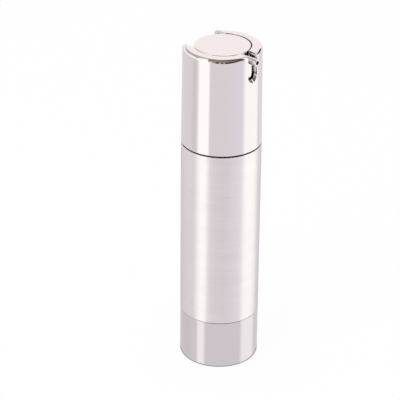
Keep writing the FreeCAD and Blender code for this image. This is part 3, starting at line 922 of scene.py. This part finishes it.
@dataclass
class BaseCap(Assembly):
    """The plated cup at the foot: rounded edge, foot ring, vent and a clean rim."""

    radius: float = 17.5
    height: float = 23.0
    wall: float = 1.3
    floor_top: float = 1.9
    edge: float = 1.2
    rim_edge: float = 0.12
    recess: float = 0.5
    recess_slope: float = 0.4
    ring_inner: float = 13.7
    vent: float = 0.8
    bead_rise: float = 8.0
    bead_half: float = 0.5
    bead_depth: float = 0.3

    def section(self) -> Section:
        """The cup's section, from the vent outwards and back along the inside.

        Returns:
            The section.
        """
        bore = self.radius - self.wall
        bead = self.floor_top + self.bead_rise
        return Section(
            Corner(self.vent, self.recess, 0.08),
            Corner(self.ring_inner - self.recess_slope, self.recess, 0.3),
            Corner(self.ring_inner, 0.0, self.rim_edge),
            Corner(self.radius, 0.0, self.edge),
            Corner(self.radius, self.height, self.rim_edge),
            Corner(bore, self.height, self.rim_edge / 2),
            Corner(bore, bead + self.bead_half),
            Corner(bore - self.bead_depth, bead, 0.1),
            Corner(bore, bead - self.bead_half),
            Corner(bore, self.floor_top, 0.2),
            Corner(self.vent, self.floor_top, 0.08),
        )

    def build(self) -> None:
        """Makes the cap and lets it ride on the bottle."""
        piece = Workshop.place(Turned(self.section()).mesh("base_cup"), "base_cup")
        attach(piece, "bottle")
        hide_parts("base_cap")
        self.finishes.dress(piece, "polished_plate")


@dataclass
class BodyTube(Assembly):
    """The brushed aluminium tube between base and head."""

    radius: float = 17.5
    wall: float = 0.5
    foot: float = 23.15
    top: float = 105.0
    edge: float = 0.1
    bore_edge: float = 0.03

    def build(self) -> None:
        """Makes the tube and lets it ride on the bottle."""
        bore = self.radius - self.wall
        section = Section(
            Corner(bore, self.foot, self.bore_edge),
            Corner(self.radius, self.foot, self.edge),
            Corner(self.radius, self.top, self.edge),
            Corner(bore, self.top, self.bore_edge),
        )
        piece = Workshop.place(Turned(section).mesh("brushed_tube"), "brushed_tube")
        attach(piece, "bottle")
        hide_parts("body_shell")
        self.finishes.dress(piece, "brushed_aluminium")


@dataclass
class HeadSleeve(Assembly):
    """The plated sleeve of the head, with its flat ring, nozzle slot and finger notch.

    The spans give where the cutting tools, the cheeks and the notch's slab start and end,
    measured from the axis.
    """

    foot: float = 105.7
    top: float = 150.0
    foot_radius: float = 17.5
    top_radius: float = 17.0
    wall: float = 1.3
    edge: float = 1.9
    foot_edge: float = 0.15
    mouth_edge: float = 0.2
    hidden_edge: float = 0.05
    ring_inner: float = 12.5
    ring_foot: float = 148.8
    tube_radius: float = 13.7
    tube_foot: float = 136.0
    slot_width: float = 5.2
    slot_floor: float = 138.6
    slot_steps: int = 72
    slot_span: Pair = (11.5, 18.5)
    lip_width: float = 0.3
    lip_drop: float = 1.5
    lip_root: float = 16.0
    notch_half: float = 10.2
    notch_floor: float = 142.5
    notch_corner: float = 1.6
    notch_span: Pair = (6.25, 18.5)
    corner_steps: int = 20
    cheek: float = 0.9
    cheek_span: Pair = (16.2, 13.2)
    cheek_rise: float = 0.4
    notch_slab: float = 1.2
    slab_span: Pair = (13.1, 16.3)
    slab_steps: int = 32
    cut_over: float = 1.0
    cut_edge: float = 0.1

    def inner_radius(self, height: float) -> float:
        """The drafted wall's inner radius at a height."""
        share = (height - self.foot) / (self.top - self.foot)
        return self.foot_radius - (self.foot_radius - self.top_radius) * share - self.wall

    def section(self) -> Section:
        """The sleeve's section: wall, ring and guide tube."""
        return Section(
            Corner(self.foot_radius - self.wall, self.foot, self.hidden_edge),
            Corner(self.foot_radius, self.foot, self.foot_edge),
            Corner(self.top_radius, self.top, self.edge),
            Corner(self.ring_inner, self.top, self.mouth_edge),
            Corner(self.ring_inner, self.tube_foot, self.hidden_edge),
            Corner(self.tube_radius, self.tube_foot, self.hidden_edge),
            Corner(self.tube_radius, self.ring_foot),
            Corner(self.inner_radius(self.ring_foot), self.ring_foot),
        )

    def slot_outline(self, y: float, wider: float = 0.0, lower: float = 0.0) -> list[Place]:
        """The round-bottomed slot's outline on an upright plane.

        Args:
            y: Where the plane stands.
            wider: How much wider than the slot the outline is, on each side.
            lower: How much lower it reaches.

        Returns:
            The outline's points.
        """
        half = self.slot_width / 2 + wider
        bend = self.slot_floor - lower + half
        outline = [(half, y, self.top + self.cut_over)]
        for index in range(self.slot_steps + 1):
            angle = -math.pi * index / self.slot_steps
            outline.append((half * math.cos(angle), y, bend + half * math.sin(angle)))
        outline.append((-half, y, self.top + self.cut_over))
        return outline

    def notch_outline(self, y: float) -> list[Place]:
        """The finger notch's outline on an upright plane, with rounded lower corners.

        Args:
            y: Where the plane stands.

        Returns:
            The outline's points.
        """
        half, low, bend = self.notch_half, self.notch_floor, self.notch_corner
        outline = [(half, y, self.top + self.cut_over)]
        for side in (1, -1):
            for index in range(self.corner_steps + 1):
                share = index / self.corner_steps
                angle = math.pi / 2 * (share if side > 0 else 1 - share)
                x = side * (half - bend + bend * math.cos(angle))
                outline.append((x, y, low + bend - bend * math.sin(angle)))
        outline.append((-half, y, self.top + self.cut_over))
        return outline

    def cheeks(self) -> list[Object]:
        """Walls beside the slot, and the notch's floor, between guide tube and sleeve.

        Returns:
            The solids to join.
        """
        made = []
        half = self.slot_width / 2
        outer, inner = self.cheek_span
        for side in (-1, 1):
            left, right = sorted((side * half, side * (half + self.cheek)))
            corners = [(left, -outer), (right, -outer), (right, -inner), (left, -inner)]
            top = self.ring_foot + self.cheek_rise
            made.append(Workshop.pillar(corners, self.slot_floor, top, f"cheek_{len(made)}"))
        slab = []
        half = self.notch_half + self.cheek
        for radius, order in zip(self.slab_span, (1, -1)):
            reach = math.asin(half / radius)
            for index in range(self.slab_steps + 1):
                angle = order * reach * (2 * index / self.slab_steps - 1)
                slab.append((radius * math.sin(angle), radius * math.cos(angle)))
        low = self.notch_floor - self.notch_slab
        top = self.notch_floor + self.notch_corner
        made.append(Workshop.pillar(slab, low, top, "notch_slab"))
        return made

    def build(self) -> None:
        """Makes the sleeve and lets it ride on the head."""
        section = self.section()
        plain = Turned(section).mesh("plated_sleeve")
        slot = Workshop.prism(*(self.slot_outline(-y) for y in self.slot_span), "slot")
        mouth = self.slot_outline(-self.foot_radius, self.lip_width, self.lip_drop)
        lip = Workshop.prism(self.slot_outline(-self.lip_root), mouth, "lip")
        notch = Workshop.prism(*(self.notch_outline(y) for y in self.notch_span), "notch")
        carved = Workshop.carve(plain, self.cheeks(), [slot, lip, notch])
        mesh = TrueNormals(section, self.cut_edge).apply(carved)
        piece = Workshop.place(mesh, "plated_sleeve")
        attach(piece, "head")
        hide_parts("head_sleeve")
        self.finishes.dress(piece, "polished_plate")


@dataclass
class Button(Assembly):
    """The plated button: disc with skirt, nozzle boss, and the tongue that fills the slot."""

    top: float = 149.9
    plate: float = 1.0
    radius: float = 12.05
    wall: float = 1.1
    foot: float = 141.0
    bead_radius: float = 12.4
    bead_height: float = 1.2
    bead_edge: float = 0.1
    edge: float = 0.3
    nozzle_height: float = 147.2
    nozzle_radius: float = 1.6
    nozzle_bore: float = 0.95
    nozzle_reach: float = 19.4
    nozzle_edge: float = 0.3
    nozzle_segments: int = 96
    tongue_inner: float = 14.1
    tongue_outer: float = 15.5
    tongue_half: float = 2.0
    tongue_foot: float = 138.7
    tongue_edge: float = 1.2
    tongue_columns: int = 36
    tongue_rows: int = 48
    tongue_crease: float = 40.0

    def disc(self) -> Object:
        """The disc and its skirt.

        Returns:
            The piece.
        """
        bore = self.radius - self.wall
        bead_top = self.foot + self.bead_height
        section = Section(
            Corner(0.0, self.top - self.plate),
            Corner(bore, self.top - self.plate, 0.2),
            Corner(bore, self.foot, 0.05),
            Corner(self.bead_radius, self.foot, self.bead_edge),
            Corner(self.bead_radius, bead_top, self.bead_edge),
            Corner(self.radius, bead_top + self.bead_radius - self.radius, self.bead_edge),
            Corner(self.radius, self.top, self.edge),
            Corner(0.0, self.top),
            closed=False,
        )
        return Workshop.place(Turned(section).mesh("button_disc"), "button_disc")

    def boss(self) -> Object:
        """The round nozzle, spun about its own axis and laid along the bottle's front.

        Returns:
            The piece.
        """
        start = self.radius - self.wall / 2
        section = Section(
            Corner(self.nozzle_bore, start),
            Corner(self.nozzle_radius, start),
            Corner(self.nozzle_radius, self.nozzle_reach, self.nozzle_edge),
            Corner(self.nozzle_bore, self.nozzle_reach, 0.08),
        )
        raised = Matrix.Translation((0, 0, self.nozzle_height))
        mesh = Turned(section, segments=self.nozzle_segments).mesh("nozzle_boss")
        return Workshop.place(mesh, "nozzle_boss", raised @ Matrix.Rotation(math.pi / 2, 4, "X"))

    def tongue_face(self, builder: BMesh, radius: float, rounding: float) -> list[list[BMVert]]:
        """A grid of points over the tongue's front or back, in columns from its foot upwards.

        Args:
            builder: The mesh under work.
            radius: How far the face lies from the bottle's axis.
            rounding: How far in from its outline the face falls away.

        Returns:
            The columns.
        """
        middle = self.tongue_foot + self.tongue_half
        grid = []
        for column in range(self.tongue_columns + 1):
            x = -self.tongue_half * math.cos(math.pi * column / self.tongue_columns)
            low = middle - math.sqrt(max(self.tongue_half**2 - x * x, 0.0))
            line = []
            for row in range(self.tongue_rows + 1):
                z = low + (self.nozzle_height - low) * (row / self.tongue_rows) ** 1.5
                inset = self.tongue_half - math.hypot(x, min(z - middle, 0.0))
                fall = min(max(rounding - inset, 0.0), rounding)
                sink = rounding - math.sqrt(rounding**2 - fall**2)
                line.append(builder.verts.new((x, sink - math.sqrt(radius**2 - x * x), z)))
            grid.append(line)
        return grid

    def tongue(self) -> Object:
        """The domed strip below the nozzle, with a round foot and well rounded front edges.

        Returns:
            The piece.
        """
        builder = bmesh.new()
        front = self.tongue_face(builder, self.tongue_outer, self.tongue_edge)
        back = self.tongue_face(builder, self.tongue_inner, 0.0)
        for grid in (front, back):
            for first, second in zip(grid, grid[1:]):
                for row in range(self.tongue_rows):
                    builder.faces.new((first[row], second[row], second[row + 1], first[row + 1]))
        for row in (0, self.tongue_rows):
            for column in range(self.tongue_columns):
                after = column + 1
                builder.faces.new(
                    (front[column][row], back[column][row], back[after][row], front[after][row])
                )
        for near, far in ((front[0], back[0]), (front[-1], back[-1])):
            for low, high, under, over in zip(near, near[1:], far, far[1:]):
                builder.faces.new((low, high, over, under))
        return Workshop.shell(builder, "slot_tongue", self.tongue_crease)

    def build(self) -> None:
        """Makes the button's three plated pieces and lets them ride on it."""
        pieces = [self.disc(), self.boss(), self.tongue()]
        for piece in pieces:
            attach(piece, "button")
            self.finishes.dress(piece, "polished_plate")
        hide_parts("button_cap")


class Side(Enum):
    """Which way a thread's ridge stands from its root."""

    OUTWARD = 1.0
    INWARD = -1.0


@dataclass
class Thread(Assembly):
    """One start of a right-hand thread, with ends that fade into the root."""

    name: str
    body: str
    slot: str
    root: float
    side: Side
    start: float
    turns: float = 1.05
    lead: float = 4.0
    depth: float = 0.72
    half_base: float = 0.62
    half_crest: float = 0.3
    fade: float = 0.1
    least: float = 0.02
    sunk: float = 0.05
    steps_a_turn: int = 120
    crease: float = 30.0

    def build(self) -> None:
        """Sweeps the ridge and lets it ride on its body."""
        steps = int(self.steps_a_turn * self.turns)
        builder = bmesh.new()
        rows = []
        for index in range(steps + 1):
            share = index / steps
            rise = min(1.0, share / self.fade, (1 - share) / self.fade)
            rise = math.sin(math.pi / 2 * max(rise, self.least))
            angle = 2 * math.pi * self.turns * share
            height = self.start + self.lead * self.turns * share
            crest = self.root + self.side.value * self.depth * rise
            root = self.root - self.side.value * self.sunk
            row = [
                (root, height - self.half_base),
                (crest, height - self.half_crest),
                (crest, height + self.half_crest),
                (root, height + self.half_base),
            ]
            rows.append([builder.verts.new(around(r, angle, z)) for r, z in row])
        for low, high in zip(rows, rows[1:]):
            for corner in range(4):
                after = (corner + 1) % 4
                builder.faces.new((low[corner], high[corner], high[after], low[after]))
        builder.faces.new(rows[0])
        builder.faces.new(list(reversed(rows[-1])))
        piece = Workshop.shell(builder, self.name, self.crease)
        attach(piece, self.body)
        self.finishes.dress(piece, self.slot)


@dataclass
class Inside(Assembly):
    """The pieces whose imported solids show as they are, by material slot."""

    nodes: dict[str, tuple[str, ...]] = field(
        default_factory=lambda: {
            "bottle_plastic": ("inner_bottle",),
            "piston_plastic": ("base_plug", "follower_piston", "pump_piston"),
            "seal_rubber": ("neck_gasket",),
            "pump_plastic": ("pump_housing", "ball_retainer", "stem_guide", "valve_spindle")
            + ("stem", "actuator_core"),
            # Black here is partly the collar's and insert's own colour and partly painted shade: it
            # darkens the seam under the head and the nozzle's hole.
            "black_plastic": ("nozzle_insert", "screw_collar"),
            "spring_steel": ("return_spring",),
            "ball_steel": ("inlet_ball",),
        }
    )

    def build(self) -> None:
        """Gives each node its finish."""
        for slot, names in self.nodes.items():
            for name in names:
                self.finishes.dress(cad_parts[name], slot)


# Studio


@dataclass(frozen=True)
class PhotoCamera:
    """The camera at the photograph's angle; lengths in metres, angles in degrees."""

    bearing: float = -49.0
    elevation: float = 28.16
    roll: float = 0.8
    distance: float = 0.900
    aim_height: float = 0.06316
    lens: float = 183.06
    sensor: float = 36.0
    shift: Pair = (-0.05030, 0.06425)
    clip: Pair = (0.01, 20.0)

    def towards(self) -> Vector:
        """The level direction from the bottle to the camera."""
        angle = math.radians(self.bearing)
        return Vector((math.sin(angle), -math.cos(angle), 0.0))

    def rightwards(self) -> Vector:
        """The level direction to the right of the picture."""
        return around(1.0, math.radians(self.bearing), 0.0)

    def build(self) -> None:
        """Makes the camera and hands it to the scene."""
        data = bpy.data.cameras.new("photo_camera")
        data.lens = self.lens
        data.sensor_width = self.sensor
        data.shift_x, data.shift_y = self.shift
        data.clip_start, data.clip_end = self.clip
        camera = linked("photo_camera", data)
        rise = math.radians(self.elevation)
        back = self.towards() * math.cos(rise) + Vector((0, 0, math.sin(rise)))
        right = self.rightwards()
        up = back.cross(right)
        turn = math.radians(self.roll)
        tilted = right * math.cos(turn) + up * math.sin(turn)
        upright = up * math.cos(turn) - right * math.sin(turn)
        axes = Matrix((tilted, upright, back)).transposed().to_4x4()
        place = Vector((0, 0, self.aim_height)) + back * self.distance
        camera.matrix_world = Matrix.Translation(place) @ axes
        bpy.context.scene.camera = camera
        LOG.info("photo_camera: %.3f m away", self.distance)


class Sight:
    """The direction that a ray looks in, as the world's graph works it out."""

    def __init__(self, graph: Graph, camera: PhotoCamera) -> None:
        """Finds the bearing from the camera's and the height over the horizon, in degrees.

        Args:
            graph: The world's graph.
            camera: The camera that bearings are counted from.
        """
        degrees = 180 / math.pi
        direction = graph.node("TexCoord", output="Generated")
        upright = graph.along(direction, (0.0, 0.0, 1.0))
        self.graph = graph
        self.ahead = graph.along(direction, tuple(camera.towards()))
        self.across = graph.along(direction, tuple(camera.rightwards()))
        self.bearing = self.across.math("ARCTAN2", self.across, self.ahead) * degrees
        self.height = upright.math("ARCSINE", upright) * degrees

    def lay(self, under: Value, panels: Sequence["Panel"]) -> Value:
        """Lays panels over a colour, each over the ones before it.

        Args:
            under: The colour behind them.
            panels: The panels.

        Returns:
            The colour in this direction.
        """
        for panel in panels:
            under = self.graph.blend(panel.mask(self), under, paint(*panel.colour))
        return under


@dataclass(frozen=True)
class Panel:
    """A field of one colour round the bottle, in degrees from the camera and the horizon.

    It fades in over its first two bearings and out over its last two. One that has heights
    stands between them, and others reach all the way. The colour is as seen on a screen.
    """

    rise: Pair
    fall: Pair
    colour: tuple[int, int, int]
    heights: Optional[Pair] = None
    soft: float = 3.0

    def mask(self, sight: Sight) -> Term:
        """Where the panel shows.

        Args:
            sight: The direction looked in.

        Returns:
            The mask, 0 to 1.
        """
        graph = sight.graph
        mask = graph.ramp(sight.bearing, *self.rise) * (1 - graph.ramp(sight.bearing, *self.fall))
        if self.heights is not None:
            mask = mask * graph.band(sight.height, *self.heights, self.soft)
        return mask


WALL_PANELS = (
    Panel((10, 60), (150, 180), (235, 228, 236)),
    Panel((-99, -86), (-82, -75), (221, 215, 214)),
    Panel((-77, -64), (-40, -32), (276, 274, 270)),
    Panel((57, 76), (115, 131), (271, 267, 263)),
)
SKIRTING_PANELS = (
    Panel((-175, -130), (-100, -80), (217, 208, 212)),
    Panel((-73, -62), (-50, -37), (257, 251, 251)),
    Panel((62, 78), (112, 134), (255, 249, 251)),
)
TALL_LIGHTS = (
    Panel((-72.5, -66.5), (-38.5, -32.5), (276, 273, 270), (-20, 60), 8.0),
    Panel((64.5, 70.5), (118, 124), (276, 273, 270), (-20, 60), 8.0),
)
CURTAINS = (
    (0.95, Panel((-172, -150), (-100, -95), (186, 177, 171))),
    (0.6, Panel((112, 120), (150, 172), (186, 177, 171))),
)
SPOTS = (
    Panel((-96, -92), (-89, -85), (88, 78, 76), (33, 46), 2.0),
    Panel((115, 121), (147, 153), (78, 72, 74), (5, 25)),
    Panel((95, 101), (119, 125), (150, 142, 140), (20, 52)),
)
HOOD_STRIPS = (
    Panel((30, 64), (200, 201), (126, 116, 110)),
    Panel((-201, -200), (-20, -15), (163, 143, 135)),
    Panel((-201, -200), (-39, -36), (156, 153, 143)),
    Panel((-39, -35), (-33, -26), (248, 240, 230)),
    Panel((-12.5, -9), (-6, -1), (200, 172, 152)),
    Panel((0, 3.5), (5, 10.5), (196, 164, 157)),
)


@dataclass(frozen=True)
class Hood:
    """The dim hood over the camera: dark in front, paler overhead, and drooping at its sides."""

    dark: Colour = paint(30, 23, 18)
    left: Colour = paint(148, 136, 126)
    right: Colour = paint(92, 81, 76)
    overhead: Pair = (24.0, 42.0)
    middle: Pair = (15.0, 65.0)
    left_slant: float = 0.38
    left_edge: Pair = (-0.38, -0.34)
    right_slant: float = 0.87
    right_edge: Pair = (0.56, 0.61)
    back_edge: Pair = (-0.32, -0.2)
    foot: Pair = (-7.0, -3.0)
    left_droop: float = 30.0
    left_bend: Pair = (10.0, 45.0)
    right_droop: float = 28.0
    right_bend: Pair = (8.0, 58.0)

    def colour(self, sight: Sight) -> Term:
        """The hood's colour.

        Args:
            sight: The direction looked in.

        Returns:
            The colour in that direction.
        """
        graph = sight.graph
        back = graph.blend(graph.ramp(sight.bearing, *self.middle), self.left, self.right)
        front = sight.lay(self.dark, HOOD_STRIPS)
        return graph.blend(graph.ramp(sight.height, *self.overhead), front, back)

    def mask(self, sight: Sight) -> Term:
        """Where the hood hangs.

        Args:
            sight: The direction looked in.

        Returns:
            The mask, 0 to 1.
        """
        graph = sight.graph
        left = graph.ramp(sight.across + self.left_slant * sight.ahead, *self.left_edge)
        right = 1 - graph.ramp(sight.across - self.right_slant * sight.ahead, *self.right_edge)
        back = graph.ramp(sight.ahead, *self.back_edge)
        droop = self.right_droop * graph.ramp(sight.bearing, *self.right_bend)
        droop = droop + self.left_droop * graph.ramp(-1 * sight.bearing, *self.left_bend)
        return left * right * back * graph.ramp(sight.height - droop, *self.foot)


@dataclass(frozen=True)
class Studio:
    """A plain pale studio: floor, a painted contact shadow round the foot, soft lamp and a world of
    light panels for the metal.

    Angles are in degrees and lengths in metres. The lamp's place is counted towards the camera,
    to the right of the picture and upwards.
    """

    camera: PhotoCamera
    hood: Hood = Hood()
    plain: Colour = (0.86, 0.86, 0.87, 1.0)
    white: Colour = (1.0, 1.0, 1.0, 1.0)
    wall: Colour = paint(232, 224, 227)
    skirting: Colour = paint(221, 214, 220)
    ceiling: Colour = paint(264, 253, 252)
    skirting_top: Pair = (-30.5, -26.5)
    ceiling_foot: Pair = (-4.0, 2.0)
    ceiling_lift: float = 24.0
    lifted: Place = (-38.0, 66.0, 3.0)
    curtain_foot: Pair = (27.0, 42.0)
    curtain_droop: float = 14.0
    curtain_bend: Pair = (105.0, 135.0)
    floor_paint: Colour = (0.95, 0.95, 0.95, 1.0)
    floor_glow: float = 0.94
    floor_reach: float = 6.0
    # The painted contact shadow round the foot: its grey, the ring's radii, its height over the
    # floor and its steps round.
    shade: Colour = paint(182, 173, 174)
    shade_span: Pair = (0.0164, 0.0190)
    shade_height: float = 0.00002
    shade_steps: int = 96
    lamp_size: float = 0.6
    lamp_watts: float = 2.2
    lamp_place: Place = (0.5, -0.45, 0.75)
    lamp_aim: float = 0.08

    def panels(self, sight: Sight) -> Term:
        """What bright metal sees: pale walls and ceiling, two light panels, curtains and a hood.

        Args:
            sight: The direction looked in.

        Returns:
            The colour in that direction.
        """
        graph, bearing, height = sight.graph, sight.bearing, sight.height
        walls = sight.lay(self.wall, WALL_PANELS)
        skirting = sight.lay(self.skirting, SKIRTING_PANELS)
        whole = graph.blend(graph.ramp(height, *self.skirting_top), skirting, walls)
        lift = self.ceiling_lift * graph.band(bearing, *self.lifted)
        whole = graph.blend(graph.ramp(height - lift, *self.ceiling_foot), whole, self.ceiling)
        whole = sight.lay(whole, TALL_LIGHTS)
        slope = height + self.curtain_droop * graph.ramp(-1 * bearing, *self.curtain_bend)
        hung = graph.ramp(slope, *self.curtain_foot)
        for share, curtain in CURTAINS:
            drawn = share * curtain.mask(sight) * hung
            whole = graph.blend(drawn, whole, paint(*curtain.colour))
        whole = sight.lay(whole, SPOTS)
        return graph.blend(self.hood.mask(sight), whole, self.hood.colour(sight))

    def world(self) -> None:
        """Makes the world: white to the camera, plain light for plastic, panels for metal."""
        made = bpy.data.worlds.new("studio")
        bpy.context.scene.world = made
        made.use_nodes = True
        graph = Graph(made.node_tree)
        path = graph.node("LightPath", output="Is Camera Ray")
        outputs = path.socket.node.outputs
        metal = self.panels(Sight(graph, self.camera))
        colour = graph.blend(Term(graph, outputs["Is Glossy Ray"]), self.plain, metal)
        colour = graph.blend(Term(graph, outputs["Is Transmission Ray"]), colour, self.white)
        colour = graph.blend(path, colour, self.white)
        shade = graph.node("Background", None, {"Color": colour, "Strength": 1.0})
        graph.node("OutputWorld", None, {"Surface": shade})

    @staticmethod
    def ground(
        name: str, corners: Sequence[Place], faces: Sequence[tuple[int, ...]]
    ) -> tuple[Object, Graph]:
        """Makes a flat piece of the studio's ground, in metres.

        Args:
            name: Its name, and its material's.
            corners: Its corners.
            faces: Its faces.

        Returns:
            The piece, and its material's empty graph.
        """
        mesh = bpy.data.meshes.new(name)
        mesh.from_pydata(corners, [], faces)
        material, graph, _ = surface_graph(name)
        mesh.materials.append(material)
        return linked(name, mesh), graph

    def floor(self) -> None:
        """Makes the floor: white as seen, with a faint shadow, and unseen by the metal."""
        far = self.floor_reach
        corners = [(-far, -far, 0), (far, -far, 0), (far, far, 0), (-far, far, 0)]
        floor, graph = self.ground("floor", corners, [(0, 1, 2, 3)])
        floor.visible_glossy = False
        matt = graph.node("BsdfDiffuse", None, {"Color": self.floor_paint})
        glow = graph.node("Emission", None, {"Color": self.white, "Strength": 1.0})
        seen = graph.node("LightPath", output="Is Camera Ray") * self.floor_glow
        shade = graph.node("MixShader", None, {0: seen, 1: matt, 2: glow})
        graph.node("OutputMaterial", None, {"Surface": shade})

    def painted_foot_shadow(self) -> None:
        """Lays a grey glowing ring round the foot, a painted contact shadow, which only the metal's
        rounded edge shows.
        """
        steps = self.shade_steps
        corners = [
            around(radius, 2 * math.pi * step / steps, self.shade_height)
            for radius in self.shade_span
            for step in range(steps)
        ]
        faces = [(i, (i + 1) % steps, steps + (i + 1) % steps, steps + i) for i in range(steps)]
        ring, graph = self.ground("painted_foot_shadow", corners, faces)
        ring.visible_camera = False
        ring.visible_diffuse = False
        ring.visible_shadow = False
        # The ring glows in the painted shadow's grey; it is no lamp.
        glow = graph.node("Emission", None, {"Color": self.shade, "Strength": 1.0})
        graph.node("OutputMaterial", None, {"Surface": glow})

    def lamp(self) -> None:
        """Hangs one large soft lamp above the camera's left, unseen by the metal."""
        data = bpy.data.lights.new("softbox", "AREA")
        data.shape = "DISK"
        data.size = self.lamp_size
        data.energy = self.lamp_watts
        lamp = linked("softbox", data)
        ahead, right, up = self.lamp_place
        level = self.camera.towards() * ahead + self.camera.rightwards() * right
        lamp.location = level + Vector((0, 0, up))
        aim = Vector((0, 0, self.lamp_aim)) - lamp.location
        lamp.rotation_euler = aim.to_track_quat("-Z", "Y").to_euler()
        lamp.visible_glossy = False
        lamp.visible_camera = False

    def build(self) -> None:
        """Makes the whole studio and sets the view transform."""
        self.world()
        self.floor()
        self.painted_foot_shadow()
        self.lamp()
        bpy.context.scene.view_settings.view_transform = "Standard"
        LOG.info("studio: world, floor and lamp")


def main() -> None:
    """Builds the bottle's pieces, the camera and the studio."""
    logging.basicConfig(level=logging.INFO, format="%(name)s: %(message)s")
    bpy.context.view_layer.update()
    finishes = Finishes()
    for assembly in (Inside, BaseCap, BodyTube, HeadSleeve, Button):
        assembly(finishes).build()
    neck = ("neck_thread", "bottle", "bottle_plastic", 13.5, Side.OUTWARD, 106.1)
    collar = ("collar_thread", "head", "black_plastic", 14.6, Side.INWARD, 106.6, 0.95)
    for thread in (neck, collar):
        Thread(finishes, *thread).build()
    camera = PhotoCamera()
    camera.build()
    Studio(camera).build()


if __name__ == "__main__":
    main()
